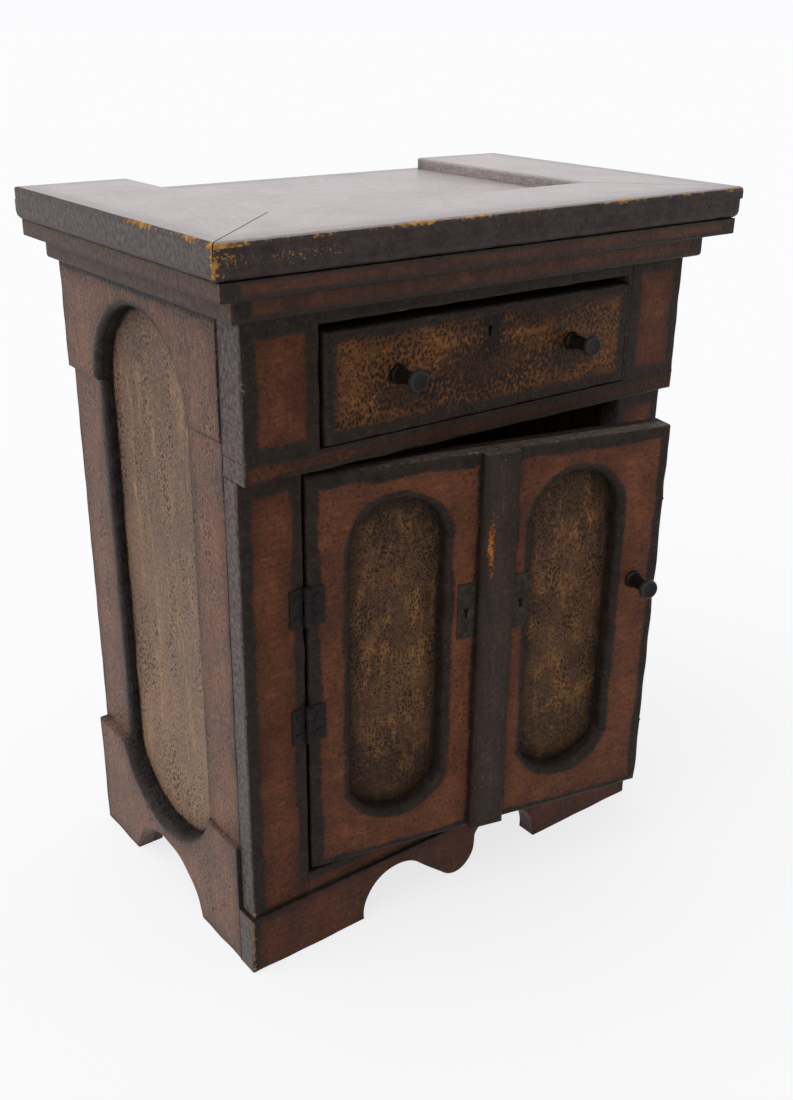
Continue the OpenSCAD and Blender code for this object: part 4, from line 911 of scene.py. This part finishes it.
strip = slab(rect(joint - d["astragalW"] / 2, joint + d["astragalW"] / 2, d["z0"], d["z1"]), 0,
    d["astragalT"], soft=3.0, seed=71, sway=0.3)
makePiece("door_astragal_painted", turnTo(strip, (0, 2, 1), (1, -1, 1)), "door", ["door_astragal"],
    astragalPaint, doorPlace)
print("door made")


drawer = {"w": 252.0, "mid": 1.0, "y0": -10.0, "t": 15.0, "z0": 370.8, "h": 68.5, "len": 190.0,
    "sideH": 58.0, "sideT": 8.0, "bottomT": 5.0, "lift": 3.0, "knobX": 72.5, "knobZ": 407.05, "keyZ": 425.3}
w = drawer
x0, x1 = w["mid"] - w["w"] / 2, w["mid"] + w["w"] / 2
frontBoard("drawer_front", rect(x0, x1, w["z0"], w["z0"] + w["h"]), w["y0"], w["y0"] + w["t"], drawerPaint,
    body="drawer", seed=81, pockets=[keyhole(w["mid"], w["keyZ"])])

knob = {"len": 22.0, "r": 7.0, "headT": 5.0, "edgeR": 1.4, "collarR": 6.2, "neckR": 4.0}


# collar, waisted neck and a round-edged head, as radius over height
def knobShape(s):
    h = s["len"] - s["headT"]
    turn = np.radians(np.linspace(-90, 90, 13))
    drift = np.linspace(0, s["headT"] - 2 * s["edgeR"], 13)
    head = np.stack([s["r"] - s["edgeR"] + s["edgeR"] * np.cos(turn),
            h + s["edgeR"] + drift + s["edgeR"] * np.sin(turn)], 1)
    t = np.linspace(0, 1, 14)
    neck = np.stack([s["neckR"] + (s["collarR"] - 1.0 - s["neckR"]) * (1 - t) ** 2.2 + 1.0 * t ** 7,
            3 + t * (h - 3)], 1)
    low = np.array([(s["collarR"], 0.0), (s["collarR"], 1.4), (s["collarR"] - 0.25, 2.2),
            (s["collarR"] - 0.9, 2.8)])
    face = np.array([(s["r"] - 2.2, s["len"]), (2.0, s["len"] - 0.15), (0.3, s["len"] - 0.2)])
    shape = np.vstack([low, neck, head, face])
    worn = np.zeros(len(shape))
    worn[len(low) + len(neck):len(low) + len(neck) + 13] = 0.9
    return shape, worn


for name, x, y, z, body, place in (("drawer_knob_left", w["mid"] - w["knobX"], w["y0"], w["knobZ"],
            "drawer", casePlace), ("drawer_knob_right", w["mid"] + w["knobX"], w["y0"], w["knobZ"],
            "drawer", casePlace), ("door_knob", doorX + d["knobU"], 0.0, d["knobZ"], "door", doorPlace)):
    shape = turnTo(lathe(*knobShape(knob)), (0, 2, 1), (1, -1, 1), (x, y, z))
    makePiece(name + "_turned", shape, body, [name], knobPaint, place)

# bare boards inside, as boxes (x0, x1, y0, y1, z0, z1)
inner = {"backT": 8.0, "boardT": 12.0, "shelfY": 24.0, "shelfZ": 203.0, "stopY": 18.4, "stopW": 36.0,
    "guideClear": 0.7}
s, t, wall = inner, inner["boardT"], w["sideT"]
inside, back, backY = c["panelIn"], c["depth"] - s["backT"], w["y0"] + w["t"] + w["len"]
z0, z1 = w["z0"], w["z0"] + w["sideH"]
shelfZ, deckZ, stopZ, boxY = s["shelfZ"], c["drawerZ"], c["drawerZ"] - t, w["y0"] + w["t"]
boards = {
    "back_board": ("case", pineUp, [(-inside, inside, back, c["depth"], c["apronH"], c["caseTop"])]),
    "floor_board": ("case", pineAcross, [(-inside, inside, front, back, c["floorZ"] - t, c["floorZ"])]),
    "shelf": ("case", pineAcross, [(-inside, inside, s["shelfY"], back, shelfZ, shelfZ + t)]),
    "shelf_cleats": ("case", pineBack, [(-inside, t - inside, s["shelfY"], back, shelfZ - t, shelfZ),
        (inside - t, inside, s["shelfY"], back, shelfZ - t, shelfZ)]),
    "drawer_deck": ("case", pineAcross, [(-inside, inside, front, back, deckZ - t, deckZ)]),
    "drawer_guides": ("case", pineBack, [(-inside, x0 - s["guideClear"], front, back, deckZ, deckZ + t),
        (x1 + s["guideClear"], inside, front, back, deckZ, deckZ + t)]),
    "door_stop": ("case", pineAcross, [(c["doorHalf"] - s["stopW"], c["doorHalf"], s["stopY"],
        s["stopY"] + t, stopZ - t, stopZ)]),
    "drawer_side_left": ("drawer", pineBack, [(x0, x0 + wall, boxY, backY, z0, z1)]),
    "drawer_side_right": ("drawer", pineBack, [(x1 - wall, x1, boxY, backY, z0, z1)]),
    "drawer_back": ("drawer", pineAcross, [(x0 + wall, x1 - wall, backY - wall, backY, z0, z1)]),
    "drawer_bottom": ("drawer", pineAcross, [(x0 + wall, x1 - wall, boxY, backY - wall, z0 + w["lift"],
        z0 + w["lift"] + w["bottomT"])]),
}
for name, (body, material, boxes) in boards.items():
    shape = together([slab(rect(*p[:4]), p[4], p[5], soft=0.6, band=2.0, corner=0.6, step=12.0, seed=91)
            for p in boxes])
    makePiece(name + "_sawn", shape, body, [name], material)
print("drawer and inner boards made")

# hinges and lock plates stay as they are, in their metals
for material, names in ((hingeIron, ("hinge_case_leaves", "hinge_pins", "hinge_case_screws",
            "hinge_door_leaves", "hinge_door_screws")),
        (plateBrass, ("door_lock_plate_left", "door_lock_plate_right"))):
    for name in names:
        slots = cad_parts[name].data.materials
        slots.clear()
        slots.append(material)

# floor, light and camera
studio = {"floor": "#f3f3f4", "half": 40.0, "glow": 0.8, "world": 0.42, "aim": (0, 0, 0.25)}  # in metres
suns = {"window_left": {"place": (-1.6, 0.0, 1.7), "strength": 1.55, "spread": 70},
    "ceiling_white": {"place": (0.1, 0.5, 2.2), "strength": 1.3, "spread": 90}}


# 1 for rays from the camera, off a gloss or through glass, else 0
def seenDirectly(tree):
    seen = add(tree, "LightPath", out="Is Camera Ray")
    for kind in ("Is Glossy Ray", "Is Transmission Ray"):
        other = add(tree, "LightPath", out=kind)
        seen = add(tree, "Math MAXIMUM", (seen, other))
    return seen


floorMesh = bpy.data.meshes.new("studio_floor")
corners = [(x * studio["half"], y * studio["half"], 0) for x, y in ((-1, -1), (1, -1), (1, 1), (-1, 1))]
floorMesh.from_pydata(corners, [], [(0, 1, 2, 3)])
floor = bpy.data.objects.new("studio_floor", floorMesh)
bpy.context.collection.objects.link(floor)
paper, tree = newMaterial("matt_white_paper")
matt = add(tree, "BsdfDiffuse", {"Color": linear(studio["floor"])})
# the camera and reflections see a paper that glows white by a share, and so keeps only a faint shadow
glow = add(tree, "Emission", {"Color": linear("#fbfbfc"), "Strength": 1.0})
seen = seenDirectly(tree)
seen = add(tree, "Math MULTIPLY", (seen, studio["glow"]))
mixed = add(tree, "MixShader", (seen, matt, glow))
add(tree, "OutputMaterial", {"Surface": mixed})
floorMesh.materials.append(paper)

world = bpy.data.worlds.new("studio")
world.use_nodes = True
tree = world.node_tree
tree.nodes.clear()
seen = seenDirectly(tree)
plain = add(tree, "Background", {"Color": linear("#f2f4f8"), "Strength": studio["world"]})
white = add(tree, "Background", {"Color": linear("#fbfbfd"), "Strength": 1.0})
mixed = add(tree, "MixShader", (seen, plain, white))
add(tree, "OutputWorld", {"Surface": mixed})
bpy.context.scene.world = world


# soft light from far away, shining from place to the middle of the cupboard
def softSun(name, place, strength, spread):
    lamp = bpy.data.lights.new(name, "SUN")
    lamp.energy, lamp.angle = strength, math.radians(spread)
    made = bpy.data.objects.new(name, lamp)
    made.location = place
    made.rotation_euler = (Vector(studio["aim"]) - Vector(place)).to_track_quat("-Z", "Y").to_euler()
    bpy.context.collection.objects.link(made)


for name, sun in suns.items():
    softSun(name, **sun)

# the photograph's camera in degrees and metres, and its focal length as a share of the picture's height
view = {"az": -37.73, "el": 23.54, "roll": 0.76, "place": (-0.5107, -0.6537, 0.6048), "focal": 1230 / 1100,
    "sensor": 36.0}
az, el, roll = (math.radians(view[k]) for k in ("az", "el", "roll"))
ahead = Vector((-math.sin(az) * math.cos(el), math.cos(az) * math.cos(el), -math.sin(el)))
across = ahead.cross(Vector((0, 0, 1))).normalized()
over = across.cross(ahead)
cosRoll, sinRoll = math.cos(roll), math.sin(roll)
across, over = across * cosRoll + over * sinRoll, over * cosRoll - across * sinRoll
lens = bpy.data.cameras.new("photo_camera")
lens.lens, lens.sensor_width = view["focal"] * view["sensor"], view["sensor"]
camera = bpy.data.objects.new("photo_camera", lens)
camera.matrix_world = Matrix([(*row, view["place"][i]) for i, row in enumerate(zip(across, over, -ahead))]
    + [(0, 0, 0, 1)])
bpy.context.collection.objects.link(camera)
bpy.context.scene.camera = camera
bpy.context.scene.view_settings.view_transform = "Standard"

print("scene ready")
